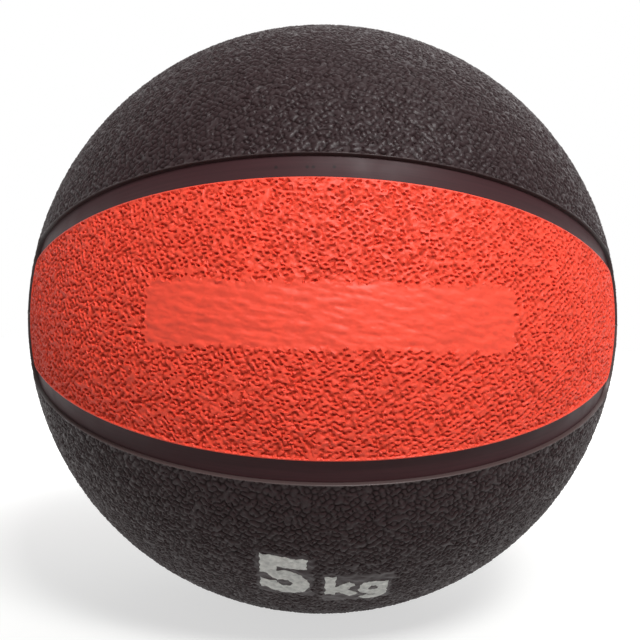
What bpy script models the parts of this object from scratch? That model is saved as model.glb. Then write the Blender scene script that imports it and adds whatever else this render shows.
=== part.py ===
"""A 5 kg rubber wall ball, laid up the way such balls are made.

From the inside out: a butyl bladder, a winding of nylon thread, a thick weighted rubber carcass in two
halves, and a moulded cover. The cover is a black skin in two halves with a red panel let in at the front
and at the rear, and each panel is framed by a recessed channel that runs round it as one closed loop. The
valve goes through all the layers at the middle of the rear panel.

The ball's centre is the origin, the front panel faces -Y and +Z is up.
"""

from math import asin, atan2, cos, hypot, pi, radians, sin, sqrt

import bmesh
import bpy
from mathutils import Vector

# Driving sizes of the outside, in metres. Widths and heights are measured over the surface.
BALL_DIAMETER = 0.240
PANEL_HEIGHT = 0.0910
PANEL_END_RADIUS = 0.070
PANEL_CORNER_RADIUS = 0.006
SIDE_BRIDGE_WIDTH = 0.089
CHANNEL_WIDTH = 0.0072
CHANNEL_DEPTH = 0.0014
CHANNEL_DISH = 0.0003
LIP_RUN = 0.0014

# Layers, from the outside in
COVER_THICKNESS = 0.0040
CARCASS_THICKNESS = 0.0180
WINDING_THICKNESS = 0.0015
BLADDER_THICKNESS = 0.0018

# Valve
CORE_RADIUS = 0.0021
CORE_LENGTH = 0.0140
CORE_COLLAR_LIP = 0.0008
CORE_COLLAR_HEIGHT = 0.0030
CORE_COLLAR_DEPTH = 0.0055
NEEDLE_DIMPLE_RADIUS = 0.0012
NEEDLE_DIMPLE_DEPTH = 0.0010
NEEDLE_HOLE_RADIUS = 0.0005
NEEDLE_HOLE_DEPTH = 0.0100
BODY_WALL = 0.0016
MOUTH_SINK = 0.0004
FLANGE_WIDTH = 0.0085
FLANGE_THICKNESS = 0.0016
PATCH_OVERLAP = 0.0030

# Clearance between pieces that touch, how far a cut runs past its piece, and when two points are one
SEAM_GAP = 0.0003
CUT_OVERRUN = 0.0020
MERGE_DISTANCE = 0.000001

# Facets: along the end, the corner and the long edge of a quarter of the panel's outline, round the lips,
# from the panel's spine to its crest, across the channel and the crown, and round and along the layers
END_STEPS = 2
CORNER_STEPS = 3
EDGE_STEPS = 8
LIP_STEPS = 3
PANEL_STEPS = 3
DISH_STEPS = 4
CROWN_STEPS = 16
LAYER_TURN_STEPS = 30
LAYER_ARC_STEPS = 14
BORE_ARC_STEPS = 2
VALVE_TURN_STEPS = 16
SHARP_ANGLE = radians(35)

# Sizes that follow
ball_radius = BALL_DIAMETER / 2
channel_floor = ball_radius - CHANNEL_DEPTH
cover_under = ball_radius - COVER_THICKNESS
carcass_outer = cover_under - SEAM_GAP
carcass_inner = carcass_outer - CARCASS_THICKNESS
winding_outer = carcass_inner - SEAM_GAP
winding_inner = winding_outer - WINDING_THICKNESS
bladder_outer = winding_inner - SEAM_GAP
bladder_inner = bladder_outer - BLADDER_THICKNESS
mouth = ball_radius - MOUTH_SINK
collar_top = mouth - CORE_COLLAR_DEPTH
collar_foot = collar_top - CORE_COLLAR_HEIGHT
collar_radius = CORE_RADIUS + CORE_COLLAR_LIP
body_bore_radius = CORE_RADIUS + SEAM_GAP
groove_radius = collar_radius + SEAM_GAP
body_radius = groove_radius + BODY_WALL
flange_radius = body_radius + FLANGE_WIDTH
wall_bore_radius = body_radius + SEAM_GAP
patch_radius = flange_radius + PATCH_OVERLAP
patch_angle = patch_radius / bladder_outer
winding_end = pi - patch_angle - SEAM_GAP / bladder_outer
layer_turn = 2 * pi / LAYER_TURN_STEPS


def colour(hex_code):
    """Scene-linear colour with alpha, from an sRGB hex code."""
    channels = [int(hex_code[i:i + 2], 16) / 255 for i in (1, 3, 5)]
    return [c / 12.92 if c <= 0.04045 else ((c + 0.055) / 1.055) ** 2.4 for c in channels] + [1.0]


def material(name, hex_code, roughness):
    """Principled material of one rubber, thread or fabric."""
    made = bpy.data.materials.new(name)
    made.use_nodes = True
    shader = made.node_tree.nodes["Principled BSDF"]
    shader.inputs["Base Color"].default_value = colour(hex_code)
    shader.inputs["Roughness"].default_value = roughness
    shader.inputs["Metallic"].default_value = 0.0
    made.diffuse_color = colour(hex_code)
    return made


def clear(radius, turn, rise=0.0):
    """Corner radius of a faceted cavity whose flats stay outside a sphere or bore of this radius."""
    return radius / cos(hypot(turn, rise) / 2)


def direction(azimuth, elevation=0.0):
    """Unit vector from the ball's centre: azimuth 0 is the front and a quarter turn is the right side."""
    flat = cos(elevation)
    return Vector((flat * sin(azimuth), -flat * cos(azimuth), sin(elevation)))


def arc(centre, spread, start, end, steps):
    """Directions at one angle from a centre, turning evenly about it from start's side to end's side."""
    first = (start - centre * start.dot(centre)).normalized()
    last = (end - centre * end.dot(centre)).normalized()
    side = (last - first * last.dot(first)).normalized()
    turns = [first.angle(last) * i / steps for i in range(steps + 1)]
    return [centre * cos(spread) + (first * cos(t) + side * sin(t)) * sin(spread) for t in turns]


def panel_corner(edge_pole, end_centre, end_angle, corner_angle):
    """Centre of the corner circle that touches the long edge and the end circle from inside."""
    lean = edge_pole.dot(end_centre)
    below_edge = -sin(corner_angle)
    inside_end = cos(end_angle - corner_angle)
    flat = edge_pole * (below_edge - inside_end * lean) + end_centre * (inside_end - below_edge * lean)
    flat /= 1 - lean * lean
    side = edge_pole.cross(end_centre)
    return flat + side * sqrt((1 - flat.length_squared) / side.length_squared)


def quarter_outline(offset=0.0):
    """Right upper quarter of the panel's outline, from the middle of its end to the middle of its top.

    The long edge is a great circle through both sides of the ball, the end is a shallow arc, and a corner
    circle joins them. An offset over the surface gives the parallel curve, step for step.
    """
    shift = offset / ball_radius
    end_angle = PANEL_END_RADIUS / ball_radius
    corner_angle = PANEL_CORNER_RADIUS / ball_radius
    rise = PANEL_HEIGHT / 2 / ball_radius
    reach = pi / 2 - (SIDE_BRIDGE_WIDTH / 2 + CHANNEL_WIDTH) / ball_radius
    edge_pole = Vector((0.0, sin(rise), cos(rise)))
    end_centre = direction(reach - end_angle)
    corner = panel_corner(edge_pole, end_centre, end_angle, corner_angle)
    edge_touch = corner - edge_pole * corner.dot(edge_pole)
    end_touch = corner - end_centre
    end = arc(end_centre, end_angle + shift, direction(reach), corner, END_STEPS)
    bend = arc(corner, corner_angle + shift, end_touch, edge_touch, CORNER_STEPS)
    edge = arc(edge_pole, pi / 2 - shift, corner, direction(0.0, rise), EDGE_STEPS)
    return end + bend[1:] + edge[1:]


def mirrored_x(points):
    """The same points on the other side of the ball, in the same order."""
    return [Vector((-p.x, p.y, p.z)) for p in points]


def full_ring(quarter):
    """Closed ring from a quarter: from the right end over the top to the left end, and back below."""
    upper = quarter + list(reversed(mirrored_x(quarter[:-1])))
    lower = [Vector((p.x, p.y, -p.z)) for p in reversed(upper[1:-1])]
    return upper + lower


def lip_profile():
    """Offset and radius of each point of a cover lip, a quarter ellipse from the channel to the crest."""
    turns = [pi / 2 * i / LIP_STEPS for i in range(LIP_STEPS + 1)]
    return [(LIP_RUN * (1 - cos(t)), channel_floor + CHANNEL_DEPTH * sin(t)) for t in turns]


def loft(name, sections, wrap=False, caps=False):
    """Mesh skinned over closed sections with the same number of points, as one closed body."""
    shape = bmesh.new()
    loops = [[shape.verts.new(point) for point in section] for section in sections]
    pairs = list(zip(loops, loops[1:]))
    if wrap:
        pairs.append((loops[-1], loops[0]))
    for near, far in pairs:
        for i in range(len(near)):
            shape.faces.new((near[i - 1], near[i], far[i], far[i - 1]))
    if caps:
        shape.faces.new(loops[0])
        shape.faces.new(loops[-1])
    bmesh.ops.remove_doubles(shape, verts=shape.verts, dist=MERGE_DISTANCE)
    bmesh.ops.recalc_face_normals(shape, faces=shape.faces)
    mesh = bpy.data.meshes.new(name)
    shape.to_mesh(mesh)
    shape.free()
    mesh.shade_smooth()
    mesh.set_sharp_from_angle(angle=SHARP_ANGLE)
    return mesh


def turned(name, profile, steps):
    """Mesh of a closed profile of radius and depth turned about the valve's axis, which is Y."""
    turns = [2 * pi * i / steps for i in range(steps)]
    sections = [[Vector((r * cos(t), y, r * sin(t))) for r, y in profile] for t in turns]
    return loft(name, sections, wrap=True)


def above_parting(point):
    """The point, or where it lies on the parting plane, half a seam gap above it."""
    return Vector((point.x, point.y, max(point.z, SEAM_GAP / 2)))


def ring(offset, radius):
    """Closed ring parallel to the panel's outline, at a radius from the ball's centre."""
    return full_ring([point * radius for point in quarter_outline(offset)])


def panel_mesh(name):
    """Red panel: rings from its spine out to the foot of its lip, and back along its underside.

    The spine runs along the panel's middle. Its end serves all the steps of the end and the corner, and
    the long edge's steps share the rest of it evenly.
    """
    foot = quarter_outline()
    crest = quarter_outline(-LIP_RUN)
    bends = END_STEPS + CORNER_STEPS
    spine_end = atan2(foot[bends].x, -foot[bends].y) - asin(foot[bends].z) / 2
    spine = [direction(spine_end)] * bends
    spine += [direction(spine_end * (1 - i / EDGE_STEPS)) for i in range(EDGE_STEPS + 1)]
    rise = foot[-1].angle(spine[-1]) / PANEL_STEPS
    under = clear(cover_under, foot[-1].angle(foot[-2]), rise)
    shares = [i / PANEL_STEPS for i in range(PANEL_STEPS + 1)]
    rings = [full_ring([s.slerp(c, t) * ball_radius for s, c in zip(spine, crest)]) for t in shares[:-1]]
    rings += [ring(-run, radius) for run, radius in reversed(lip_profile())]
    rings += [full_ring([s.slerp(f, t) * under for s, f in zip(spine, foot)]) for t in reversed(shares)]
    return loft(name, rings)


def channel_mesh(name):
    """Channel strip: a flat band with a slightly dished floor that follows the outline all the way round."""
    foot = quarter_outline()
    under = clear(cover_under, foot[-1].angle(foot[-2]))
    width = CHANNEL_WIDTH - 2 * SEAM_GAP
    shares = [i / DISH_STEPS for i in range(DISH_STEPS + 1)]
    section = [(SEAM_GAP + width * s, channel_floor - CHANNEL_DISH * sin(pi * s)) for s in shares]
    section += [(SEAM_GAP + width, under), (CHANNEL_WIDTH / 2, under), (SEAM_GAP, under)]
    return loft(name, [ring(offset, radius) for offset, radius in section], wrap=True)


def across(edge, tilt, steps):
    """Directions on the circle from an edge point over the plane y = 0 to the edge point's mirror image.

    The tilt says how far from the top, toward the right, the circle crosses that plane.
    """
    middle = Vector((sin(tilt), 0.0, cos(tilt)))
    slope = Vector((edge.x - middle.x, 0.0, edge.z - middle.z))
    axis = Vector((-slope.z, 0.0, slope.x)).normalized()
    centre = axis * axis.dot(middle)
    reach = middle - centre
    half_turn = atan2(-edge.y, (edge - centre).dot(reach.normalized()))
    turns = [half_turn * (2 * i / steps - 1) for i in range(steps + 1)]
    return [centre + reach * cos(t) + Vector((0.0, reach.length * sin(t), 0.0)) for t in turns]


def crown_tilts(edge):
    """Where each row of a cover crosses the middle plane.

    Rows from the long edge stay level with their own point. Those from the corner and the end fan out until
    the last one lies in the parting plane.
    """
    bends = END_STEPS + CORNER_STEPS
    left_over = pi / 2 - asin(edge[bends].x)
    fan = [pi / 2 - left_over * i / bends for i in range(bends)]
    return fan + [asin(point.x) for point in edge[bends:]]


def cover_mesh(name):
    """Black cover half: rows over the crown from the front channel's lip to the rear one's."""
    lips = [(quarter_outline(CHANNEL_WIDTH + run), radius) for run, radius in lip_profile()]
    foot = lips[0][0]
    crest = lips[-1][0]
    middle_row = across(foot[-1], 0.0, CROWN_STEPS)
    under = clear(cover_under, foot[-1].angle(foot[-2]), middle_row[0].angle(middle_row[1]))
    crest_tilts = crown_tilts(crest)
    foot_tilts = crown_tilts(foot)
    sections = []
    for i in range(len(foot)):
        front_lip = [points[i] * radius for points, radius in lips[:-1]]
        rear_lip = [Vector((p.x, -p.y, p.z)) for p in reversed(front_lip)]
        top = [p * ball_radius for p in across(crest[i], crest_tilts[i], CROWN_STEPS)]
        bottom = [p * under for p in across(foot[i], foot_tilts[i], CROWN_STEPS)]
        section = front_lip + top + rear_lip + list(reversed(bottom))
        sections.append([above_parting(point) for point in section])
    sections += [mirrored_x(section) for section in reversed(sections[:-1])]
    return loft(name, sections, caps=True)


def layer_profile(outer, inner, bore=None):
    """Radius and depth of a ball-shaped layer's section, from the front pole to the valve and back.

    All layers share their steps as far as the winding's opening, so their facets lie parallel, and a layer
    with a bore goes on to it.
    """
    profile = []
    for radius in (outer, inner):
        angles = [winding_end * i / LAYER_ARC_STEPS for i in range(LAYER_ARC_STEPS + 1)]
        if bore:
            left_over = pi - asin(bore / radius) - winding_end
            angles += [winding_end + left_over * (i + 1) / BORE_ARC_STEPS for i in range(BORE_ARC_STEPS)]
        side = [(radius * sin(angle), -radius * cos(angle)) for angle in angles]
        profile = side + list(reversed(profile))
    return profile


def carcass_mesh(name):
    """Carcass half, turned through half a circle about the valve's axis with flat parting faces."""
    profile = layer_profile(carcass_outer, carcass_inner, clear(wall_bore_radius, layer_turn))
    turns = [layer_turn * i for i in range(LAYER_TURN_STEPS // 2 + 1)]
    sections = [[Vector((r * cos(t), y, r * sin(t))) for r, y in profile] for t in turns]
    return loft(name, [[above_parting(point) for point in section] for section in sections], caps=True)


def winding_mesh(name):
    """Thread winding: a ball-shaped layer with a wide opening round the valve."""
    return turned(name, layer_profile(winding_outer, winding_inner), LAYER_TURN_STEPS)


def bladder_mesh(name):
    """Bladder: the innermost layer, open only where the valve body passes."""
    profile = layer_profile(bladder_outer, bladder_inner, clear(wall_bore_radius, layer_turn))
    return turned(name, profile, LAYER_TURN_STEPS)


def dished(radius, inner_reach, outer_reach):
    """Three profile points on a sphere about the ball's centre, between two distances from the axis."""
    reaches = (inner_reach, (inner_reach + outer_reach) / 2, outer_reach)
    return [(reach, sqrt(radius * radius - reach * reach)) for reach in reaches]


def patch_mesh(name):
    """Valve patch: a dished washer that fills the winding's opening and rests on the bladder."""
    bore = clear(wall_bore_radius, layer_turn)
    top = dished(winding_outer, bore, winding_outer * sin(patch_angle))
    bottom = dished(winding_inner, bore, winding_inner * sin(patch_angle))
    return turned(name, top + list(reversed(bottom)), LAYER_TURN_STEPS)


def body_mesh(name):
    """Valve body: a tube from the cover's surface to a dished flange inside the bladder."""
    flange_top = bladder_inner - SEAM_GAP
    top = dished(flange_top, body_radius, flange_radius)
    bottom = dished(flange_top - FLANGE_THICKNESS, body_bore_radius, flange_radius)
    groove = [
        (body_bore_radius, collar_top + SEAM_GAP),
        (groove_radius, collar_top + SEAM_GAP),
        (groove_radius, collar_foot - SEAM_GAP),
        (body_bore_radius, collar_foot - SEAM_GAP),
    ]
    tube = [(body_radius, mouth), (body_bore_radius, mouth)]
    return turned(name, bottom + list(reversed(top)) + tube + groove, VALVE_TURN_STEPS)


def core_mesh(name):
    """Valve core: a plug with a collar that snaps into the body's groove, and a dimple for the needle."""
    hole_foot = mouth - NEEDLE_HOLE_DEPTH
    profile = [
        (0.0, mouth - CORE_LENGTH),
        (CORE_RADIUS, mouth - CORE_LENGTH),
        (CORE_RADIUS, collar_foot),
        (collar_radius, collar_foot),
        (collar_radius, collar_top),
        (CORE_RADIUS, collar_top),
        (CORE_RADIUS, mouth),
        (NEEDLE_DIMPLE_RADIUS, mouth),
        (NEEDLE_HOLE_RADIUS, mouth - NEEDLE_DIMPLE_DEPTH),
        (NEEDLE_HOLE_RADIUS, hole_foot),
        (0.0, hole_foot),
    ]
    return turned(name, profile, VALVE_TURN_STEPS)


def place(name, mesh, finish, parent, turn_y=0.0, turn_z=0.0):
    """Object of one piece under the ball's empty, turned about the valve's axis or about the upright."""
    if not mesh.materials:
        mesh.materials.append(finish)
    piece = bpy.data.objects.new(name, mesh)
    bpy.context.scene.collection.objects.link(piece)
    piece.parent = parent
    piece.rotation_euler = (0.0, turn_y, turn_z)
    return piece


def bore_through(piece, parent):
    """Cut the valve's bore through a piece of the cover with a rod along the valve's axis."""
    radius = clear(wall_bore_radius, layer_turn)
    near = cover_under - CUT_OVERRUN
    far = ball_radius + CUT_OVERRUN
    profile = [(0.0, near), (radius, near), (radius, far), (0.0, far)]
    rod = turned("valve_bore_cutter", profile, LAYER_TURN_STEPS)
    cutter = bpy.data.objects.new("valve_bore_cutter", rod)
    bpy.context.scene.collection.objects.link(cutter)
    cutter.parent = parent
    cutter.hide_render = True
    cutter.display_type = "WIRE"
    cut = piece.modifiers.new("valve_bore", "BOOLEAN")
    cut.operation = "DIFFERENCE"
    cut.solver = "EXACT"
    cut.object = cutter


def build():
    """Clear the scene and build the ball."""
    for leftover in list(bpy.data.objects):
        bpy.data.objects.remove(leftover)
    ball = bpy.data.objects.new("wall_ball", None)
    bpy.context.scene.collection.objects.link(ball)

    red_rubber = material("red_rubber", "#D8412F", 0.62)
    black_rubber = material("black_rubber", "#332D2E", 0.62)
    smooth_black_rubber = material("smooth_black_rubber", "#2C2525", 0.48)
    carcass_rubber = material("carcass_rubber", "#232122", 0.80)
    nylon_thread = material("nylon_thread", "#D9D2BE", 0.70)
    butyl_rubber = material("butyl_rubber", "#1F1F21", 0.55)
    patch_fabric = material("patch_fabric", "#6E675C", 0.85)
    valve_rubber = material("valve_rubber", "#26211F", 0.50)

    panel = panel_mesh("panel")
    channel = channel_mesh("channel")
    cover = cover_mesh("cover")
    carcass = carcass_mesh("carcass")
    place("front_panel", panel, red_rubber, ball)
    rear_panel = place("rear_panel", panel, red_rubber, ball, turn_z=pi)
    bore_through(rear_panel, ball)
    place("front_channel", channel, smooth_black_rubber, ball)
    place("rear_channel", channel, smooth_black_rubber, ball, turn_z=pi)
    place("upper_cover", cover, black_rubber, ball)
    place("lower_cover", cover, black_rubber, ball, turn_y=pi)
    place("upper_carcass", carcass, carcass_rubber, ball)
    place("lower_carcass", carcass, carcass_rubber, ball, turn_y=pi)
    place("thread_winding", winding_mesh("winding"), nylon_thread, ball)
    place("bladder", bladder_mesh("bladder"), butyl_rubber, ball)
    place("valve_patch", patch_mesh("valve_patch"), patch_fabric, ball)
    place("valve_body", body_mesh("valve_body"), valve_rubber, ball)
    place("valve_core", core_mesh("valve_core"), valve_rubber, ball)


build()
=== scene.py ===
"""Looks of a 5 kg rubber wall ball: pebbled red panels and black covers, smooth channels and a valve.

The relief is shaped in the meshes, from seeds spread unevenly over the ball. On a black cover each seed is
a pebble and the borders between neighbours are valleys. On a red panel each seed is a pit in land that runs
on.
The materials read how deep each point lies and paint the deep points darker, which is painted shade, so
colour and shape always agree.

The ball's centre is the origin, the front panel faces -Y and +Z is up. All sizes are in metres.
"""

from math import asin, atan2, cos, hypot, pi, radians, sin, sqrt

import bmesh
import bpy
import numpy as np
from bpy.props import FloatProperty, FloatVectorProperty, PointerProperty
from mathutils import Matrix, Vector, noise
from mathutils.geometry import delaunay_2d_cdt


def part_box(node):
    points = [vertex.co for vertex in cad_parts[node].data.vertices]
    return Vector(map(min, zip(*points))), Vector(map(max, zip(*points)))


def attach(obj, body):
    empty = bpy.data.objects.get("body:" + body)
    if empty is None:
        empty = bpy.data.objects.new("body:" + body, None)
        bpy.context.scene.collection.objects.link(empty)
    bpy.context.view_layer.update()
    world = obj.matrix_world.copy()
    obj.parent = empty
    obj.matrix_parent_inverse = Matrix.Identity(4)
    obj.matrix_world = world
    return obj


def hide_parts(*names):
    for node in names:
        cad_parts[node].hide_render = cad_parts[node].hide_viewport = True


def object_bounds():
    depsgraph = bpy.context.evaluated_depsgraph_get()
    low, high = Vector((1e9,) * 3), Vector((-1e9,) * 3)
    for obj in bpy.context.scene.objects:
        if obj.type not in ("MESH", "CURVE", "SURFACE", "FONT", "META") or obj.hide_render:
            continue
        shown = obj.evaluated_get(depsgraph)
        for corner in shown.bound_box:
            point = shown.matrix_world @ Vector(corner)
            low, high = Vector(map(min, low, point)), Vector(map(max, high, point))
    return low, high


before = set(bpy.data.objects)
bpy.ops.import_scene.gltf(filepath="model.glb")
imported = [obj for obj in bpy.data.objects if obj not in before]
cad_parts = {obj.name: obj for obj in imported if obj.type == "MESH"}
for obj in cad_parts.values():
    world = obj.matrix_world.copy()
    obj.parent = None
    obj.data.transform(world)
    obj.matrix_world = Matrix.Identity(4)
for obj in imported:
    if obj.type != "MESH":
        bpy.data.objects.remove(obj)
cad_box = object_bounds()

bl_info = {
    "name": "Rubber wall ball",
    "version": (1, 0, 0),
    "blender": (4, 5, 0),
    "location": "3D View > Sidebar > Wall Ball",
    "description": "Builds the pebbled panels and covers, channels, valve and weight mark of a wall ball",
    "category": "Object",
}

# The ball's radius is the frame's. The other sizes are those of the part's source, over the surface
ball_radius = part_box("upper_cover")[1].z
PANEL_HEIGHT = 0.0910
PANEL_END_RADIUS = 0.070
PANEL_CORNER_RADIUS = 0.006
SIDE_BRIDGE_WIDTH = 0.089
CHANNEL_WIDTH = 0.0072
CHANNEL_DEPTH = 0.0014
CHANNEL_DISH = 0.0003
LIP_RUN = 0.0014
COVER_THICKNESS = 0.0040
SEAM_GAP = 0.0003

# Valve, from the mouth inward, also as in the part's source
CORE_RADIUS = 0.0021
CORE_LENGTH = 0.0140
CORE_COLLAR_LIP = 0.0008
CORE_COLLAR_HEIGHT = 0.0030
CORE_COLLAR_DEPTH = 0.0055
NEEDLE_DIMPLE_RADIUS = 0.0012
NEEDLE_DIMPLE_DEPTH = 0.0010
NEEDLE_HOLE_RADIUS = 0.0005
NEEDLE_HOLE_DEPTH = 0.0100
BODY_WALL = 0.0016
MOUTH_SINK = 0.0004
FLANGE_WIDTH = 0.0085
FLANGE_THICKNESS = 0.0016
EDGE_ROUNDING = 0.0003

channel_floor = ball_radius - CHANNEL_DEPTH
cover_under = ball_radius - COVER_THICKNESS
mouth = ball_radius - MOUTH_SINK
collar_top = mouth - CORE_COLLAR_DEPTH
collar_foot = collar_top - CORE_COLLAR_HEIGHT
collar_radius = CORE_RADIUS + CORE_COLLAR_LIP
body_bore_radius = CORE_RADIUS + SEAM_GAP
groove_radius = collar_radius + SEAM_GAP
body_radius = groove_radius + BODY_WALL
flange_radius = body_radius + FLANGE_WIDTH
bore_radius = body_radius + SEAM_GAP

# Steps along the end, the corner and the long edge of a quarter of the panel's outline, and along a bridge
END_STEPS = 20
CORNER_STEPS = 9
EDGE_STEPS = 160
BRIDGE_STEPS = 100
LIP_STEPS = 5
BORE_STEPS = 48
TURN_STEPS = 64
DISH_STEPS = 8
ROUNDING_STEPS = 4
FLANGE_STEPS = 6
FUNNEL_STEPS = 8
WELD_DISTANCE = 1e-6

# Seeds: the turn from one to the next, how far each strays as a share of the pitch, the share that is left
# out, and how many pitches past a surface they go on
GOLDEN_TURN = pi * (3 - sqrt(5))
UNEVEN_SHARE = 0.16
LOST_SHARE = 0.03
SEED_MARGIN = 2.5
UNDERSIDE_PITCH = 0.008

# Borders between seeds: how square their corners are, the least share of the way to them that a ring goes,
# the spans in pitches of those that get a point in the middle, and how near in pitches two points may lie
CORNER_ROUNDNESS = 6.0
LEAST_REACH = 0.35
LONG_BORDER = (0.3, 2.0)
LEAST_APART = 0.12
LEAST_NEARNESS = 1e-12
TRIANGLE_TOLERANCE = 1e-10

# Black pebbles, as shares of the relief: the most a top lies down, the shoulder's depth, and the depth of
# nearly filled valleys, of open ones and of the shallowest corner. A leaning top lies down by this besides,
# as a share of its slope over a pitch
TOP_DROP = 0.10
LEAN_DROP = 0.3
SHOULDER_POINTS = 7
SHOULDER_DROP = 0.40
FILLED_VALLEY = (0.10, 0.40)
OPEN_VALLEY = (0.75, 1.0)
LEAST_VALLEY = 0.15

# Red pits: the shares that are faint and that run together, how much more often they do so side by side
# than one above the other, and the depth of faint and full pits, of the dips of joined ones and of the
# land's, as shares of the relief
FAINT_SHARE = 0.18
JOINED_SHARE = 0.36
ROW_SHARE = 0.8
FAINT_PIT = (0.20, 0.50)
FULL_PIT = (0.80, 1.0)
JOINED_DIP = (0.50, 0.90)
LAND_DIP = (0.0, 0.26)

# Rings round a pit, each its number of points, its share of the way to the border and its depth as a share
# of the pit's, and how much wider than high they are drawn out
PIT_RINGS = ((6, 0.45, 0.92), (8, 0.68, 0.18))
PIT_STRETCH = 0.20

# A cover's flat top runs this much further out than the solid's crest and a panel's this much less far, and
# a panel is rounded over this much
COVER_REACH = 0.0011
PANEL_SETBACK = 0.0002
PANEL_ROUNDING = 0.0005
PARTING_GAP = 0.00004

# Smooth border inside a lip, in shares of its width: its own line of points, and where relief starts and is
# full
RIM_LINE = 0.6
RIM_START = 1.25
RIM_FULL = 2.0

# No ripple of a smooth field comes nearer to the pebbles' tops than this
FIELD_SINK = 0.0002

# Share of its gloss that the rubber keeps at the bottom of a valley; the gloss taken away there is painted
# shade on its reflections
VALLEY_SHEEN = 0.15

# Depth, tone and share of smooth land of the rubber away from the pebbles
MEAN_TONE = 0.5
SMOOTH_LOOK = (0.0, MEAN_TONE, 1.0)

# Scale and place of the outside and of the underside in a skin's flat map
OUTSIDE_MAP = ((0.98, 0.86), (0.01, 0.13))
UNDERSIDE_MAP = ((0.98, 0.10), (0.01, 0.01))

# Waves to the metre along each axis, their slant, and the rate, shift and share of the quicker ones on them
LAND_WAVES = (330, 330, 560)
PLAQUE_WAVES = (190, 190, 560)
MARK_WAVES = (330, 330, 480)
WAVE_SLANT = 0.35
QUICK_RATE = 2.3
QUICK_SHIFT = 7
QUICK_SHARE = 0.4

PLAQUE_CORNER = 0.0025

# Angles in degrees from which an edge is sharp, on a skin, on a strip or turned piece and on the ink
SKIN_SHARP = 45
STRIP_SHARP = 40
INK_SHARP = 60

# Printed figures as strokes: width, then each centre line, in shares of the figure's height
FIVE = (0.245, (
    [(-0.33, 0.3775), (0.36, 0.3775)],
    [(-0.2075, 0.5), (-0.2075, 0.04)],
    [(0.04 + 0.235 * cos(radians(a)), -0.1625 + 0.215 * sin(radians(a))) for a in range(144, -156, -9)],
    [(-0.33, -0.27), (-0.09, -0.27)],
))
UNIT = (0.19, (
    [(-0.60, 0.5), (-0.60, -0.22)],
    [(-0.58, -0.06), (-0.20, 0.25)],
    [(-0.45, 0.06), (-0.16, -0.24)],
    [(0.19 + 0.185 * cos(radians(a)), 0.02 + 0.19 * sin(radians(a))) for a in range(0, 189, 9)],
    [(0.19 + 0.185 * cos(radians(a)), 0.02 + 0.19 * sin(radians(a))) for a in range(180, 369, 9)],
    [(0.375, 0.27), (0.375, -0.24)],
    [(0.18 + 0.195 * cos(radians(a)), -0.24 + 0.165 * sin(radians(a))) for a in range(9, -150, -9)],
))

# Each figure with its middle's place right of and above the mark's centre, its height and its width
MARK_FIGURES = (
    (FIVE, (-0.0113, 0.0018), 0.0256, 0.0176),
    (UNIT, (0.0139, -0.0050), 0.0200, 0.0228),
)
MARK_ELEVATION = radians(-48.5)
MARK_SLOPE = -0.09
MARK_MARGIN = 0.0016

# The mark is looked for where the cosine of the angle from its centre is more than this
MARK_NEAR = 0.5

# Ragged edges of the print: how far they stray, the length of a step and of a wave in steps, and their seed.
# The points that fill a figure lie on a grid, in shares of its size
MARK_RAGGED = 0.00060
MARK_STEP = 0.0006
RAGGED_WAVE = 2.5
MARK_SEED = 5
FILL_REACH = 0.7
FILL_STEP = 1 / 45
FLAT_TOLERANCE = 1e-7

# Azimuth and elevation in degrees of the trapped-air pinholes in the front channel's upper run. They are
# only painted there, as dark spots of painted shade
PINHOLES = ((-8.1, 23.1), (-3.0, 23.2), (-2.0, 23.2), (1.4, 23.3))

# Place and size of the lamps, and radius, rings and turns of the floor
KEY_LAMP = ((0.27, -0.76, 0.75), 0.3)
FILL_LAMP = ((0.50, 1.20, 0.90), 1.6)
FLOOR = (4.0, 24, 96)

# Refraction of rubber, and the range that most of a noise texture's values lie in
RUBBER_IOR = 1.52
NOISE_RANGE = {"From Min": 0.3, "From Max": 0.7}

# Radians that a wave texture of scale 1 turns by in a unit
WAVE_RATE = 20
WHITE = (1.0, 1.0, 1.0, 1.0)

FRONT = np.array((0.0, -1.0, 0.0))
TOP = np.array((0.0, 0.0, 1.0))


def linear(hex_code):
    """Scene-linear colour of an sRGB hex code."""
    channels = [int(hex_code[i:i + 2], 16) / 255 for i in (1, 3, 5)]
    return [c / 12.92 if c <= 0.04045 else ((c + 0.055) / 1.055) ** 2.4 for c in channels]


def length(name, text, metres):
    """Property that holds a length."""
    return FloatProperty(name=name, description=text, default=metres, unit="LENGTH", precision=5, min=0.0)


def share(name, text, amount):
    """Property that holds a share from 0 to 1."""
    return FloatProperty(name=name, description=text, default=amount, subtype="FACTOR", min=0.0, max=1.0)


def colour(name, text, hex_code):
    """Property that holds a surface colour."""
    return FloatVectorProperty(
        name=name, description=text, default=linear(hex_code), subtype="COLOR", size=3, min=0.0, max=1.0
    )


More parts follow.
